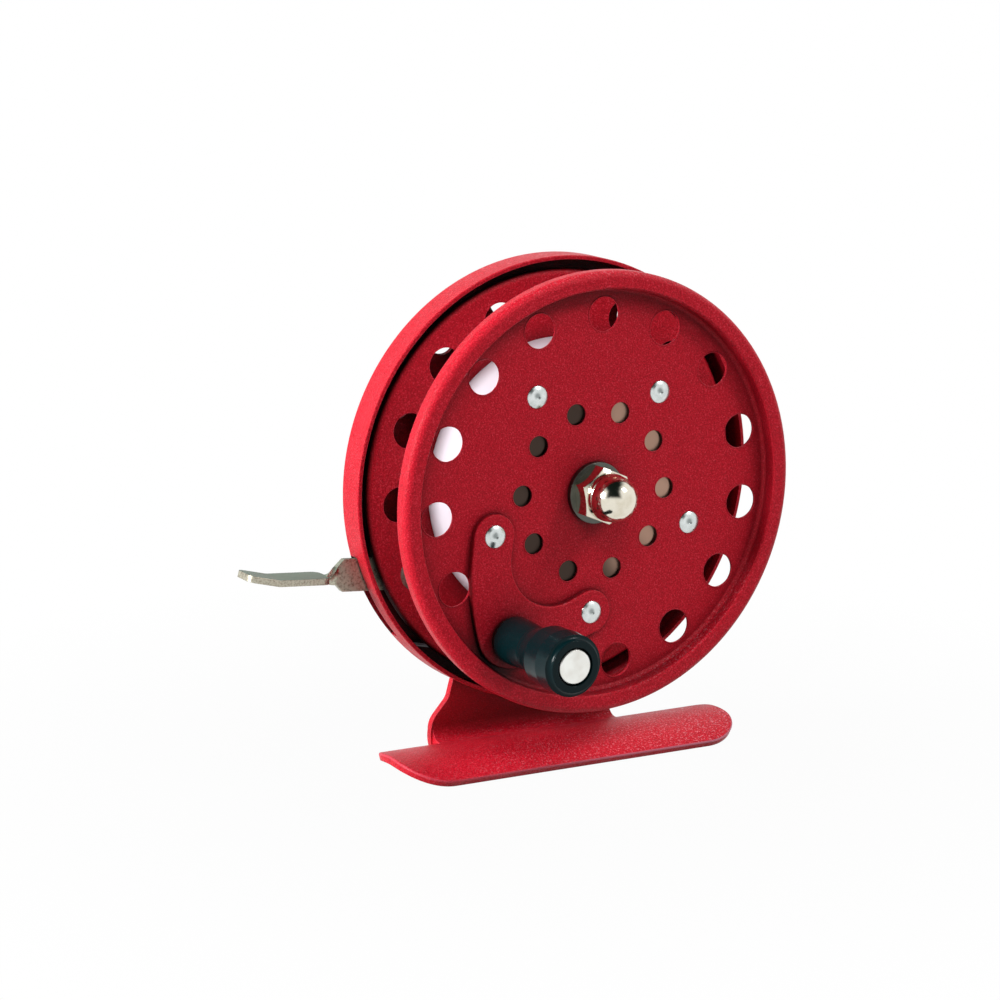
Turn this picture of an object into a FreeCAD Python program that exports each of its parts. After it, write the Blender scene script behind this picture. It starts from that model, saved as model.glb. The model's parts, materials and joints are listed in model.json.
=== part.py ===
import FreeCAD, Part
import math
import os
import re

import Sketcher

# A small single-action hand reel of pressed and riveted sheet, in millimetres.
# X runs along the foot, Y away from the handle side and Z up. The origin lies in the middle
# of the foot, on the plane that the foot's two long edges stand on, under the spool's axis.
# Depths named in the comments are measured from the front face of the front flange, rearwards.

SIZES = {
    # The spool's axis and front face in the frame
    "axis_height": 41.5,
    "face_setback": 8.75,
    # Spool flanges, pressed from sheet
    "flange_sheet": 0.5,
    "line_width": 10.8,
    "front_rim_radius": 32.5,
    "front_rim_width": 2.7,
    "front_rim_depth": 2.55,
    "front_rim_fillet": 0.6,
    "front_rim_nose": 1.1,
    "front_rim_edge": 0.35,
    "front_rim_return": 0.3,
    "rear_flange_gap": 1.5,
    "rear_lip_depth": 1.4,
    "rear_lip_bend": 0.9,
    # Perforations of both flanges
    "outer_hole_margin": 5.15,
    "outer_hole_radius": 2.6,
    "outer_hole_phase": 87.4,
    "inner_hole_circle": 12.05,
    "inner_hole_radius": 1.63,
    "inner_hole_phase": 105.6,
    # Moulded drum that the line is wound on
    "drum_radius": 21.2,
    "drum_wall": 1.6,
    "drum_hub_radius": 6.4,
    "disc_radius": 14.9,
    "disc_sheet": 0.5,
    "web_depth": 5.6,
    "web_thickness": 1.8,
    "boss_radius": 2.4,
    # Rivets through the spool
    "rivet_circle": 17.65,
    "rivet_phase": 123.6,
    "rivet_shank": 1.0,
    "rivet_head_radius": 1.7,
    "rivet_head_height": 0.52,
    "rivet_tail_radius": 1.45,
    "rivet_tail_height": 0.4,
    # Spindle, bush and front fastening
    "journal_radius": 2.5,
    "bush_wall": 1.45,
    "running_gap": 0.05,
    "thread_radius": 2.0,
    "thread_length": 5.9,
    "end_float": 0.1,
    "washer_radius": 4.5,
    "washer_thickness": 0.8,
    "washer_gap": 0.15,
    "thread_clearance": 0.15,
    "thread_bevel": 0.3,
    "nut_flats": 7.4,
    "nut_height": 3.0,
    "nut_turn": 37.4,
    "nut_bevel": 0.1,
    "nut_bevel_slope": 30.0,
    "nut_root": 1.0,
    "nut_crease": 0.2,
    "nut_thread_room": 0.2,
    "nut_neck_radius": 3.52,
    "nut_neck_height": 1.0,
    "nut_dome_radius": 3.42,
    "nut_total_height": 8.0,
    # Rear pan
    "pan_radius": 33.2,
    "pan_sheet": 0.6,
    "pan_front": 10.2,
    "pan_floor": 15.0,
    "pan_bend": 0.9,
    "pan_edge": 0.2,
    "slot_front": 12.9,
    "slot_top": 196.0,
    "slot_bottom": 220.5,
    "slot_margin": 3.6,
    "vent_margin": 5.9,
    "vent_radius": 2.2,
    "vent_start": -39.3,
    "vent_pitch": 24.0,
    "vent_count": 12,
    # Spindle's rear fastening
    "rear_washer_radius": 4.5,
    "rear_washer_thickness": 0.8,
    "spindle_head_radius": 3.0,
    "spindle_head_height": 0.9,
    "thrust_thickness": 0.5,
    # Toothed check wheel
    "wheel_radius": 11.2,
    "wheel_teeth": 24,
    "tooth_depth": 1.6,
    "tooth_land": 0.75,
    "tooth_root": 0.8,
    # Check lever: pivot, flat arm, twisted neck and thumb pad
    "pivot_left": 4.3,
    "pivot_drop": 13.6,
    "lever_sheet": 0.95,
    "lever_front": 13.1,
    "lever_width": 4.75,
    "lever_rise": 4.0,
    "lever_travel": 17.0,
    "arm_reach": 30.9,
    "arm_chamfer": 1.1,
    "neck_width": 2.6,
    "neck_length": 1.7,
    "neck_overlap": 0.3,
    "pad_width": 4.9,
    "pad_drop": 0.35,
    "pad_bend": 3.0,
    "pad_corner_radius": 1.2,
    "pad_length": 8.2,
    "pad_rise": 4.0,
    "tip_length": 4.9,
    "tip_rise": 14.0,
    "pawl_reach": 7.6,
    "pawl_angle": 13.5,
    "pawl_nose": 0.5,
    "pawl_root_reach": 0.6,
    "pawl_root_drop": 2.3,
    "pawl_back_run": 1.6,
    "pawl_back_drop": 1.3,
    "pawl_tip_height": 0.7,
    "pawl_face_run": 1.1,
    "pawl_face_drop": 0.9,
    "pawl_throat_reach": 3.4,
    "pawl_throat_drop": 0.5,
    "pawl_throat_radius": 1.6,
    "pawl_shoulder_reach": 1.9,
    "pawl_shoulder_rise": 1.3,
    "arm_heel": 0.6,
    # Pivot rivet and spacer
    "pivot_radius": 1.5,
    "pivot_head_radius": 1.75,
    "pivot_head_height": 0.55,
    "pivot_head_bevel": 0.2,
    "pivot_tail_radius": 2.4,
    "pivot_tail_height": 0.6,
    "pivot_gap": 0.05,
    # Foot bracket, one strip of sheet folded under the pan
    "bracket_sheet": 1.15,
    "arch_radius": 15.65,
    "arch_half": 32.0,
    "foot_length": 57.5,
    "foot_corner": 6.9,
    "edge_round": 0.3,
    "fold_radius": 2.0,
    "stem_right": 12.9,
    "stem_flare": 1.3,
    "stem_top_half": 9.0,
    "stem_top_drop": 17.2,
    "stem_shoulder": 4.0,
    "stem_left": 14.3,
    "stem_kink_left": 15.05,
    "stem_kink_height": 9.0,
    "stem_kink_run": 2.8,
    "stem_kink_round": 3.0,
    "stem_kink_step": 0.6,
    "stem_kink_fall": 0.9,
    "stem_sweep_step": 0.9,
    "stem_sweep_rise": 2.4,
    "stem_sweep_round": 3.4,
    "stem_heel_left": 18.05,
    "stem_heel_height": 4.0,
    "stem_heel_round": 6.0,
    "stem_heel_tuck": 0.35,
    "stem_bottom": 0.95,
    "stem_flare_foot": 1.7,
    "fold_inset": 0.25,
    # Fasteners between pan and bracket
    "bracket_rivet_side": 10.5,
    "bracket_rivet_drop": 24.0,
    "bracket_rivet_inner": 5.0,
    "bracket_rivet_rise": 4.4,
    "bracket_rivet_shank": 1.3,
    "bracket_rivet_head": 1.6,
    "bracket_head_height": 0.5,
    "bracket_tail_height": 0.7,
    "post_radius": 1.2,
    "post_height": 2.0,
    "post_lip": 0.5,
    "post_lip_height": 0.4,
    "post_tail_bevel": 0.5,
    # Wire return spring
    "spring_wire": 0.6,
    "spring_clearance": 0.1,
    "spring_loop": 1.55,
    "spring_upper_angle": 143.0,
    "spring_upper_length": 12.6,
    "spring_lower_angle": 169.0,
    # Crank plate on the front flange
    "crank_sheet": 1.0,
    "crank_lobe": 3.25,
    "crank_corner": 5.65,
    "crank_corner_rise": 1.1,
    "crank_corner_shift": 0.3,
    "crank_side": 36.0,
    "crank_hollow": 7.3,
    "crank_hollow_left": 6.9,
    "crank_hollow_drop": 8.75,
    "crank_round": 0.3,
    # Handle knob and its pin
    "knob_circle": 24.55,
    "knob_angle": -125.5,
    "pin_radius": 1.5,
    "pin_tail_radius": 1.2,
    "pin_head_radius": 2.49,
    "pin_head_height": 1.2,
    "pin_head_bevel": 0.15,
    "knob_gap": 0.1,
    "knob_washer_radius": 3.1,
    "knob_washer_thickness": 0.7,
    "knob_length": 17.1,
    "knob_base_radius": 3.53,
    "knob_waist_radius": 3.16,
    "knob_waist_place": 6.4,
    "knob_shoulder_radius": 4.43,
    "knob_shoulder_place": 10.4,
    "knob_barrel_radius": 4.57,
    "knob_round": 0.75,
    "knob_recess_radius": 2.78,
    "knob_crown": 0.1,
    "knob_crown_place": 3.4,
    "knob_crown_bow": 30.0,
    "knob_shoulder_bow": 2.0,
    "knob_shoulder_step": 0.45,
    "knob_shoulder_run": 1.15,
    "knob_neck_step": 0.12,
    "knob_neck_run": 0.5,
    "knob_neck_bow": 1.2,
    "knob_waist_run": 0.2,
    "knob_waist_bow": 60.0,
    "knob_base_round": 0.4,
}

doc = FreeCAD.newDocument("hand_reel")
sheet = doc.addObject("Spreadsheet::Sheet", "Sizes")
for row, (alias, number) in enumerate(SIZES.items(), start=1):
    sheet.set(f"A{row}", alias)
    sheet.set(f"B{row}", str(number))
    sheet.setAlias(f"B{row}", alias)
doc.recompute()

# Depths from the front flange's front face, as formulas of the sizes
FLANGE_BACK = "flange_sheet"
DISC_BACK = "flange_sheet + disc_sheet"
REAR_FACE = "flange_sheet + line_width"
REAR_BACK = "2 * flange_sheet + line_width"
PAN_BACK = "pan_floor + pan_sheet"
BRACKET_BACK = "pan_floor + pan_sheet + bracket_sheet"
THRUST_FACE = "pan_floor - thrust_thickness"
BUSH_BACK = "pan_floor - thrust_thickness - end_float"
LEVER_BACK = "lever_front + lever_sheet"
WASHER_BACK = "end_float - washer_gap"
WASHER_FACE = "end_float - washer_gap - washer_thickness"
BUSH_RADIUS = "journal_radius + running_gap + bush_wall"
PAN_BORE = "pan_radius - pan_sheet"
REAR_EDGE = "pan_radius - pan_sheet - rear_flange_gap"
ARCH_CENTRE = "-(arch_radius - bracket_sheet) * cos(arch_half)"

FUNCTIONS = {"cos", "sin", "tan", "sqrt"}
WORD = re.compile(r"[a-z][a-z_]*")


def bound(formula):
    """Point each size named in the formula at its cell."""
    return WORD.sub(lambda word: word[0] if word[0] in FUNCTIONS else "Sizes." + word[0], formula)


def value(formula):
    """Number that the formula gives now."""
    return float(sheet.evalExpression(bound(formula)))


def polar(radius, angle):
    """Formulas of a point at this radius and angle, as (across, up)."""
    return f"({radius}) * cos({angle})", f"({radius}) * sin({angle})"


def beside(centre, radius, angle):
    """Formulas of a point at this radius and angle from another point."""
    across, up = polar(radius, angle)
    return f"{centre[0]} + {across}", f"{centre[1]} + {up}"


def place(thing, x="0", y="0", z="0"):
    """Put an object at a point given by three formulas."""
    for axis, formula in (("x", x), ("y", y), ("z", z)):
        thing.setExpression(f".Placement.Base.{axis}", bound(formula))


def on_axis(thing, across="0", up="0"):
    """Put an object at the front face, across and up from the spool's axis."""
    place(thing, across, "-face_setback", f"axis_height + {up}")


def new_body(name):
    body = doc.addObject("PartDesign::Body", name)
    body.Label = name
    return body


def new_sketch(body, name, role, lift=None):
    """Sketch on one of the body's origin planes, lifted along the plane's normal."""
    planes = {feature.Role: feature for feature in body.Origin.OriginFeatures}
    sketch = body.newObject("Sketcher::SketchObject", name)
    sketch.AttachmentSupport = [(planes[role], "")]
    sketch.MapMode = "FlatFace"
    if lift is not None:
        sketch.setExpression(".AttachmentOffset.Base.z", bound(lift))
        doc.recompute()
    return sketch


def pin_point(sketch, curve, end, across, up):
    """Tie one point of a curve to two formulas."""
    for kind, formula, far_axis in (("DistanceX", across, -2), ("DistanceY", up, -1)):
        if formula == "0":
            sketch.addConstraint(Sketcher.Constraint("PointOnObject", curve, end, far_axis))
            continue
        number = value(formula)
        index = sketch.addConstraint(Sketcher.Constraint(kind, -1, 1, curve, end, number))
        sketch.setExpression(f"Constraints[{index}]", bound(formula))


def set_radius(sketch, curve, formula):
    index = sketch.addConstraint(Sketcher.Constraint("Radius", curve, value(formula)))
    sketch.setExpression(f"Constraints[{index}]", bound(formula))


def arc_between(start, end, radius, side):
    """Shorter arc from start to end, its centre on the left or right of the way."""
    chord = end - start
    half = chord.Length / 2
    reach = math.sqrt(max(radius * radius - half * half, 0))
    left = FreeCAD.Vector(-chord.y, chord.x, 0).normalize()
    centre = start + chord * 0.5 + left * (reach if side == "left" else -reach)
    first, last = (start, end) if side == "left" else (end, start)
    angles = [math.atan2(spot.y - centre.y, spot.x - centre.x) for spot in (first, last)]
    return Part.ArcOfCircle(Part.Circle(centre, FreeCAD.Vector(0, 0, 1), radius), *angles)


def trace(sketch, corners, closed=True):
    """Draw lines and arcs through corners tied to formulas.

    A corner is (across, up), and the stretch that leaves it is an arc where the corner
    goes on with a radius and the side of the way that the arc's centre is on.
    """
    spots = [FreeCAD.Vector(value(corner[0]), value(corner[1]), 0) for corner in corners]
    count = len(corners)
    pieces = count if closed else count - 1
    ends = []
    for index in range(pieces):
        start, end = spots[index], spots[(index + 1) % count]
        if len(corners[index]) == 2:
            curve = sketch.addGeometry(Part.LineSegment(start, end), False)
            ends.append((curve, 1, 2))
            continue
        radius, side = corners[index][2:]
        curve = sketch.addGeometry(arc_between(start, end, value(radius), side), False)
        ends.append((curve, 1, 2) if side == "left" else (curve, 2, 1))
    for index in range(pieces if closed else pieces - 1):
        here, there = ends[index], ends[(index + 1) % pieces]
        sketch.addConstraint(Sketcher.Constraint("Coincident", here[0], here[2], there[0], there[1]))
    for index in range(pieces):
        pin_point(sketch, ends[index][0], ends[index][1], *corners[index][:2])
    if not closed:
        pin_point(sketch, ends[-1][0], ends[-1][2], *corners[-1][:2])
    for index in range(pieces):
        if len(corners[index]) > 2:
            set_radius(sketch, ends[index][0], corners[index][2])
    doc.recompute()


def straight_link(first, second):
    """Where the line from one round to the next touches each: rounds are (centre, radius, turn)."""
    way = second[0] - first[0]
    lean = math.asin((second[2] * second[1] - first[2] * first[1]) / way.Length)
    heading = math.atan2(way.y, way.x) - lean
    left = FreeCAD.Vector(-math.sin(heading), math.cos(heading), 0)
    return [spot - left * (turn_way * radius) for spot, radius, turn_way in (first, second)]


def bulged_link(first, second, radius):
    """Where a wide arc from one left round to the next touches each, and its centre."""
    way = second[0] - first[0]
    near, far = radius - first[1], radius - second[1]
    reach = (near * near - far * far + way.Length ** 2) / (2 * way.Length)
    side = math.sqrt(near * near - reach * reach)
    along_way = FreeCAD.Vector(way).normalize()
    centre = first[0] + along_way * reach + FreeCAD.Vector(-along_way.y, along_way.x, 0) * side
    touches = [spot + (spot - centre).normalize() * size for spot, size, _ in (first, second)]
    return touches, centre


def rounded_loop(sketch, stations):
    """Closed outline of rounds joined by tangent lines, or by wide arcs.

    A station is (centre across, centre up, radius, turn, link): turn is 1 where the way
    round turns left and -1 where it turns right, and link is None for a line to the next
    station or the radius of a wide arc.
    """
    rounds = [(FreeCAD.Vector(value(item[0]), value(item[1]), 0), value(item[2]), item[3])
              for item in stations]
    count = len(stations)
    links = []
    for index, item in enumerate(stations):
        here, there = rounds[index], rounds[(index + 1) % count]
        if item[4] is None:
            links.append((straight_link(here, there), None))
        else:
            links.append(bulged_link(here, there, value(item[4])))
    normal = FreeCAD.Vector(0, 0, 1)
    chain = []
    for index, (centre, radius, way) in enumerate(rounds):
        spots = [links[index - 1][0][1], links[index][0][0]]
        ends = (1, 2) if way > 0 else (2, 1)
        if way < 0:
            spots.reverse()
        angles = [math.atan2(spot.y - centre.y, spot.x - centre.x) for spot in spots]
        arc = Part.ArcOfCircle(Part.Circle(centre, normal, radius), *angles)
        curve = sketch.addGeometry(arc, False)
        chain.append((curve, *ends, index, None))
        touches, wide_centre = links[index]
        if wide_centre is None:
            curve = sketch.addGeometry(Part.LineSegment(*touches), False)
        else:
            angles = [math.atan2(spot.y - wide_centre.y, spot.x - wide_centre.x)
                      for spot in touches]
            wide = value(stations[index][4])
            arc = Part.ArcOfCircle(Part.Circle(wide_centre, normal, wide), *angles)
            curve = sketch.addGeometry(arc, False)
        chain.append((curve, 1, 2, None, stations[index][4]))
    for index, (curve, _, end, _, _) in enumerate(chain):
        after, start = chain[(index + 1) % len(chain)][:2]
        sketch.addConstraint(Sketcher.Constraint("Tangent", curve, end, after, start))
    for curve, _, _, station, wide in chain:
        if station is not None:
            pin_point(sketch, curve, 3, *stations[station][:2])
            set_radius(sketch, curve, stations[station][2])
        elif wide is not None:
            set_radius(sketch, curve, wide)
    doc.recompute()


def circle(sketch, across, up, radius):
    """Circle with its centre and radius tied to formulas."""
    centre = FreeCAD.Vector(value(across), value(up), 0)
    curve = sketch.addGeometry(Part.Circle(centre, FreeCAD.Vector(0, 0, 1), value(radius)), False)
    if across == "0" and up == "0":
        sketch.addConstraint(Sketcher.Constraint("Coincident", curve, 3, -1, 1))
    else:
        pin_point(sketch, curve, 3, across, up)
    set_radius(sketch, curve, radius)
    doc.recompute()


def turn(body, name, corners):
    """Solid turned about the body's Y axis from corners given as (radius, depth)."""
    sketch = new_sketch(body, f"{name}_section", "XY_Plane")
    trace(sketch, corners)
    solid = body.newObject("PartDesign::Revolution", name)
    solid.Profile = sketch
    solid.ReferenceAxis = (sketch, ["V_Axis"])
    solid.Angle = 360
    doc.recompute()
    return solid


def pad(body, name, sketch, length, rearwards=False, midplane=False):
    solid = body.newObject("PartDesign::Pad", name)
    solid.Profile = sketch
    solid.setExpression("Length", bound(length))
    solid.Reversed = rearwards
    solid.Midplane = midplane
    doc.recompute()
    return solid


def cut(body, name, sketch, length=None, rearwards=False):
    """Pocket of a given depth or right through, which has to take something away."""
    before = body.Shape.Volume
    pocket = body.newObject("PartDesign::Pocket", name)
    pocket.Profile = sketch
    if length is None:
        pocket.Type = "ThroughAll"
        pocket.Midplane = True
    else:
        pocket.setExpression("Length", bound(length))
        pocket.Reversed = not rearwards
    doc.recompute()
    if body.Shape.Volume > before - 1e-6:
        raise RuntimeError(f"{body.Label}: {name} cuts nothing")
    return pocket


def repeat(body, name, feature, count, angle=360):
    """Copies of a feature round the body's Y axis."""
    axes = {item.Role: item for item in body.Origin.OriginFeatures}
    pattern = body.newObject("PartDesign::PolarPattern", name)
    pattern.Originals = [feature]
    pattern.Axis = (axes["Y_Axis"], [""])
    pattern.Angle = angle
    pattern.Occurrences = count
    body.Tip = pattern
    doc.recompute()
    return pattern


def soften(body, name, radius, wanted):
    """Round the edges of the last feature that the test picks."""
    base = body.Tip
    names = [f"Edge{i}" for i, edge in enumerate(base.Shape.Edges, start=1) if wanted(edge)]
    if not names:
        raise RuntimeError(f"{body.Label}: {name} finds no edge")
    fillet = body.newObject("PartDesign::Fillet", name)
    fillet.Base = (base, names)
    fillet.setExpression("Radius", bound(radius))
    doc.recompute()
    return fillet


def ring(name, hole, radius, front, back):
    """Plain washer or bush about the spool's axis."""
    body = new_body(name)
    turn(body, f"{name}_ring", [(hole, front), (radius, front), (radius, back), (hole, back)])
    on_axis(body)
    return body


def flange_holes(body, tag):
    """Both rings of round holes, and the five rivet holes."""
    for kind, circle_size, radius, angle, count in (
        ("outer", f"{REAR_EDGE} - outer_hole_margin", "outer_hole_radius", "outer_hole_phase", 15),
        ("inner", "inner_hole_circle", "inner_hole_radius", "inner_hole_phase", 10),
        ("rivet", "rivet_circle", "rivet_shank", "rivet_phase", 5),
    ):
        sketch = new_sketch(body, f"{tag}_{kind}_spot", "XZ_Plane")
        circle(sketch, *polar(circle_size, angle), radius)
        hole = cut(body, f"{tag}_{kind}_hole", sketch)
        repeat(body, f"{tag}_{kind}_holes", hole, count)


# Spool: pressed front flange with its rim turned forward and hemmed back
front_flange = new_body("front_flange")
RIM_WALL = "front_rim_radius - front_rim_width"
HEM = "-front_rim_depth + flange_sheet"
turn(front_flange, "front_pressing", [
    (BUSH_RADIUS, "0"),
    (f"{RIM_WALL} - front_rim_fillet", "0", "front_rim_fillet", "right"),
    (RIM_WALL, "-front_rim_fillet"),
    (RIM_WALL, "-front_rim_depth + front_rim_edge", "front_rim_edge", "left"),
    (f"{RIM_WALL} + front_rim_edge", "-front_rim_depth"),
    ("front_rim_radius - front_rim_nose", "-front_rim_depth", "front_rim_nose", "left"),
    ("front_rim_radius", "-front_rim_depth + front_rim_nose"),
    ("front_rim_radius", "-front_rim_return"),
    ("front_rim_radius - flange_sheet", "-front_rim_return"),
    ("front_rim_radius - flange_sheet", "-front_rim_depth + front_rim_nose",
     "front_rim_nose - flange_sheet", "right"),
    ("front_rim_radius - front_rim_nose", HEM),
    (f"{RIM_WALL} + flange_sheet", HEM),
    (f"{RIM_WALL} + flange_sheet", "-front_rim_fillet", "front_rim_fillet + flange_sheet", "left"),
    (f"{RIM_WALL} - front_rim_fillet", FLANGE_BACK),
    (BUSH_RADIUS, FLANGE_BACK),
])
flange_holes(front_flange, "front")
on_axis(front_flange)

# Spool: rear flange with its edge turned rearwards, running inside the pan
rear_flange = new_body("rear_flange")
turn(rear_flange, "rear_pressing", [
    (BUSH_RADIUS, REAR_FACE),
    (f"{REAR_EDGE} - rear_lip_bend", REAR_FACE, "rear_lip_bend", "left"),
    (REAR_EDGE, f"{REAR_FACE} + rear_lip_bend"),
    (REAR_EDGE, f"{REAR_FACE} + rear_lip_depth"),
    (f"{REAR_EDGE} - flange_sheet", f"{REAR_FACE} + rear_lip_depth"),
    (f"{REAR_EDGE} - flange_sheet", f"{REAR_FACE} + rear_lip_bend",
     "rear_lip_bend - flange_sheet", "right"),
    (f"{REAR_EDGE} - rear_lip_bend", REAR_BACK),
    (BUSH_RADIUS, REAR_BACK),
])
flange_holes(rear_flange, "rear")
on_axis(rear_flange)

# Spool: moulded drum with hub, web and five rivet bosses
drum = new_body("line_drum")
DRUM_BORE = "drum_radius - drum_wall"
turn(drum, "drum_shell", [
    (DRUM_BORE, FLANGE_BACK),
    ("drum_radius", FLANGE_BACK),
    ("drum_radius", REAR_FACE),
    (DRUM_BORE, REAR_FACE),
    (DRUM_BORE, "web_depth + web_thickness"),
    ("drum_hub_radius", "web_depth + web_thickness"),
    ("drum_hub_radius", REAR_FACE),
    (BUSH_RADIUS, REAR_FACE),
    (BUSH_RADIUS, DISC_BACK),
    ("drum_hub_radius", DISC_BACK),
    ("drum_hub_radius", "web_depth"),
    (DRUM_BORE, "web_depth"),
])
boss_spot = new_sketch(drum, "boss_spot", "XZ_Plane", f"-({FLANGE_BACK})")
circle(boss_spot, *polar("rivet_circle", "rivet_phase"), "boss_radius")
boss = pad(drum, "boss", boss_spot, "line_width", rearwards=True)
repeat(drum, "bosses", boss, 5)
boss_bore_spot = new_sketch(drum, "boss_bore_spot", "XZ_Plane")
circle(boss_bore_spot, *polar("rivet_circle", "rivet_phase"), "rivet_shank")
boss_bore = cut(drum, "boss_bore", boss_bore_spot)
repeat(drum, "boss_bores", boss_bore, 5)
on_axis(drum)

# Spool: bright disc between the hub and the front flange, seen through the inner holes
ring("hub_disc", BUSH_RADIUS, "disc_radius", FLANGE_BACK, DISC_BACK)

# Spool: brass bush that turns on the spindle
ring("hub_bush", "journal_radius + running_gap", BUSH_RADIUS, "0", BUSH_BACK)

# Spool: toothed check wheel pressed on the bush behind the rear flange.
# Its gaps face the pawl when the lever is pressed home.
pawl_turned = value("pawl_angle + lever_travel")
pawl_x = value("pawl_reach") * math.cos(math.radians(pawl_turned)) - value("pivot_left")
pawl_z = value("pawl_reach") * math.sin(math.radians(pawl_turned)) - value("pivot_drop")
gap_angle = math.degrees(math.atan2(pawl_z, pawl_x))
wheel = new_body("check_wheel")
turn(wheel, "wheel_disc", [
    (BUSH_RADIUS, REAR_BACK),
    ("wheel_radius", REAR_BACK),
    ("wheel_radius", BUSH_BACK),
    (BUSH_RADIUS, BUSH_BACK),
])
mouth = "wheel_radius * sin(180 / wheel_teeth) - tooth_land / 2"
gap_sketch = new_sketch(wheel, "gap_outline", "XZ_Plane")
trace(gap_sketch, [
    ("-tooth_root / 2", "wheel_radius - tooth_depth"),
    ("tooth_root / 2", "wheel_radius - tooth_depth"),
    (mouth, "wheel_radius"),
    (mouth, "wheel_radius + tooth_depth"),
    (f"-({mouth})", "wheel_radius + tooth_depth"),
    (f"-({mouth})", "wheel_radius"),
])
gap = cut(wheel, "gap", gap_sketch)
repeat(wheel, "gaps", gap, SIZES["wheel_teeth"])
wheel.Placement.Rotation = FreeCAD.Rotation(FreeCAD.Vector(0, -1, 0), gap_angle - 90)
on_axis(wheel)


def turned(name, corners):
    """Turned solid outside any body, about its own Y axis."""
    sketch = doc.addObject("Sketcher::SketchObject", f"{name}_section")
    trace(sketch, corners)
    solid = doc.addObject("Part::Revolution", name)
    solid.Source = sketch
    solid.Axis = FreeCAD.Vector(0, 1, 0)
    solid.Base = FreeCAD.Vector(0, 0, 0)
    solid.Angle = 360
    solid.Solid = True
    doc.recompute()
    return solid


def rivet_corners(shank, head, head_height, head_face, tail, tail_height, tail_face):
    """Section of a rivet with domed ends: the front one first, then the rear one."""
    head_sphere = f"({head} * {head} + {head_height} * {head_height}) / (2 * {head_height})"
    tail_sphere = f"({tail} * {tail} + {tail_height} * {tail_height}) / (2 * {tail_height})"
    return [
        ("0", f"{head_face} - {head_height}", head_sphere, "left"),
        (head, head_face),
        (shank, head_face),
        (shank, tail_face),
        (tail, tail_face, tail_sphere, "left"),
        ("0", f"{tail_face} + {tail_height}"),
    ]


def fastener_group(name, corners, spots):
    """One node of equal fasteners, each a solid of its own, at spots about the axis."""
    group = doc.addObject("Part::Compound", name)
    group.Label = name
    members = []
    for index, (across, up) in enumerate(spots, start=1):
        member = turned(f"{name}_{index}", corners)
        on_axis(member, across, up)
        members.append(member)
    group.Links = members
    doc.recompute()
    return group


# Rivets: three hold the spool together, two more hold the crank plate as well
RIVET_SPOTS = [polar("rivet_circle", f"(rivet_phase - {72 * index})") for index in range(5)]
spool_rivet = rivet_corners(
    "rivet_shank", "rivet_head_radius", "rivet_head_height", "0",
    "rivet_tail_radius", "rivet_tail_height", f"({REAR_BACK})")
crank_rivet = rivet_corners(
    "rivet_shank", "rivet_head_radius", "rivet_head_height", "(-crank_sheet)",
    "rivet_tail_radius", "rivet_tail_height", f"({REAR_BACK})")
fastener_group("spool_rivets", spool_rivet, RIVET_SPOTS[:3])
fastener_group("crank_rivets", crank_rivet, RIVET_SPOTS[3:])

# Crank plate: two lobes round its rivets and a broad corner that carries the knob
LOWER_LOBE = RIVET_SPOTS[3]
UPPER_LOBE = RIVET_SPOTS[4]
PIN_SPOT = polar("knob_circle", "knob_angle")
CORNER = (f"{PIN_SPOT[0]} + crank_corner_shift", f"{PIN_SPOT[1]} + crank_corner_rise")
crank_plate = new_body("crank_plate")
crank_outline = new_sketch(crank_plate, "crank_outline", "XZ_Plane")
rounded_loop(crank_outline, [
    (*UPPER_LOBE, "crank_lobe", 1, "crank_side"),
    (*CORNER, "crank_corner", 1, None),
    (*LOWER_LOBE, "crank_lobe", 1, None),
    ("-crank_hollow_left", "-crank_hollow_drop", "crank_hollow", -1, None),
])
pad(crank_plate, "crank_pad", crank_outline, "crank_sheet")
crank_holes = new_sketch(crank_plate, "crank_holes", "XZ_Plane")
for spot in (LOWER_LOBE, UPPER_LOBE):
    circle(crank_holes, *spot, "rivet_shank")
circle(crank_holes, *PIN_SPOT, "pin_tail_radius")
cut(crank_plate, "crank_bores", crank_holes)
crank_front = -value("crank_sheet")
soften(crank_plate, "crank_edge", "crank_round", lambda edge: (
    abs(edge.BoundBox.YMax - crank_front) < 1e-4 and abs(edge.BoundBox.YMin - crank_front) < 1e-4
    and not (edge.isClosed())))
on_axis(crank_plate)

# Knob pin, riveted flush in the crank plate, with a flat head let into the knob
KNOB_BASE = "-crank_sheet - knob_washer_thickness - knob_gap"
KNOB_FACE = f"{KNOB_BASE} - knob_length"
HEAD_BACK = f"{KNOB_FACE} + pin_head_height"
knob_pin = new_body("knob_pin")
turn(knob_pin, "pin_shank", [
    ("0", KNOB_FACE),
    ("pin_head_radius - pin_head_bevel", KNOB_FACE),
    ("pin_head_radius", f"{KNOB_FACE} + pin_head_bevel"),
    ("pin_head_radius", HEAD_BACK),
    ("pin_radius", HEAD_BACK),
    ("pin_radius", "-crank_sheet"),
    ("pin_tail_radius", "-crank_sheet"),
    ("pin_tail_radius", "0"),
    ("0", "0"),
])
on_axis(knob_pin, *PIN_SPOT)

# Washer between the crank plate and the knob
knob_washer = new_body("knob_washer")
turn(knob_washer, "knob_washer_ring", [
    ("pin_radius + running_gap", "-crank_sheet - knob_washer_thickness"),
    ("knob_washer_radius", "-crank_sheet - knob_washer_thickness"),
    ("knob_washer_radius", "-crank_sheet"),
    ("pin_radius + running_gap", "-crank_sheet"),
])
on_axis(knob_washer, *PIN_SPOT)

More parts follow.
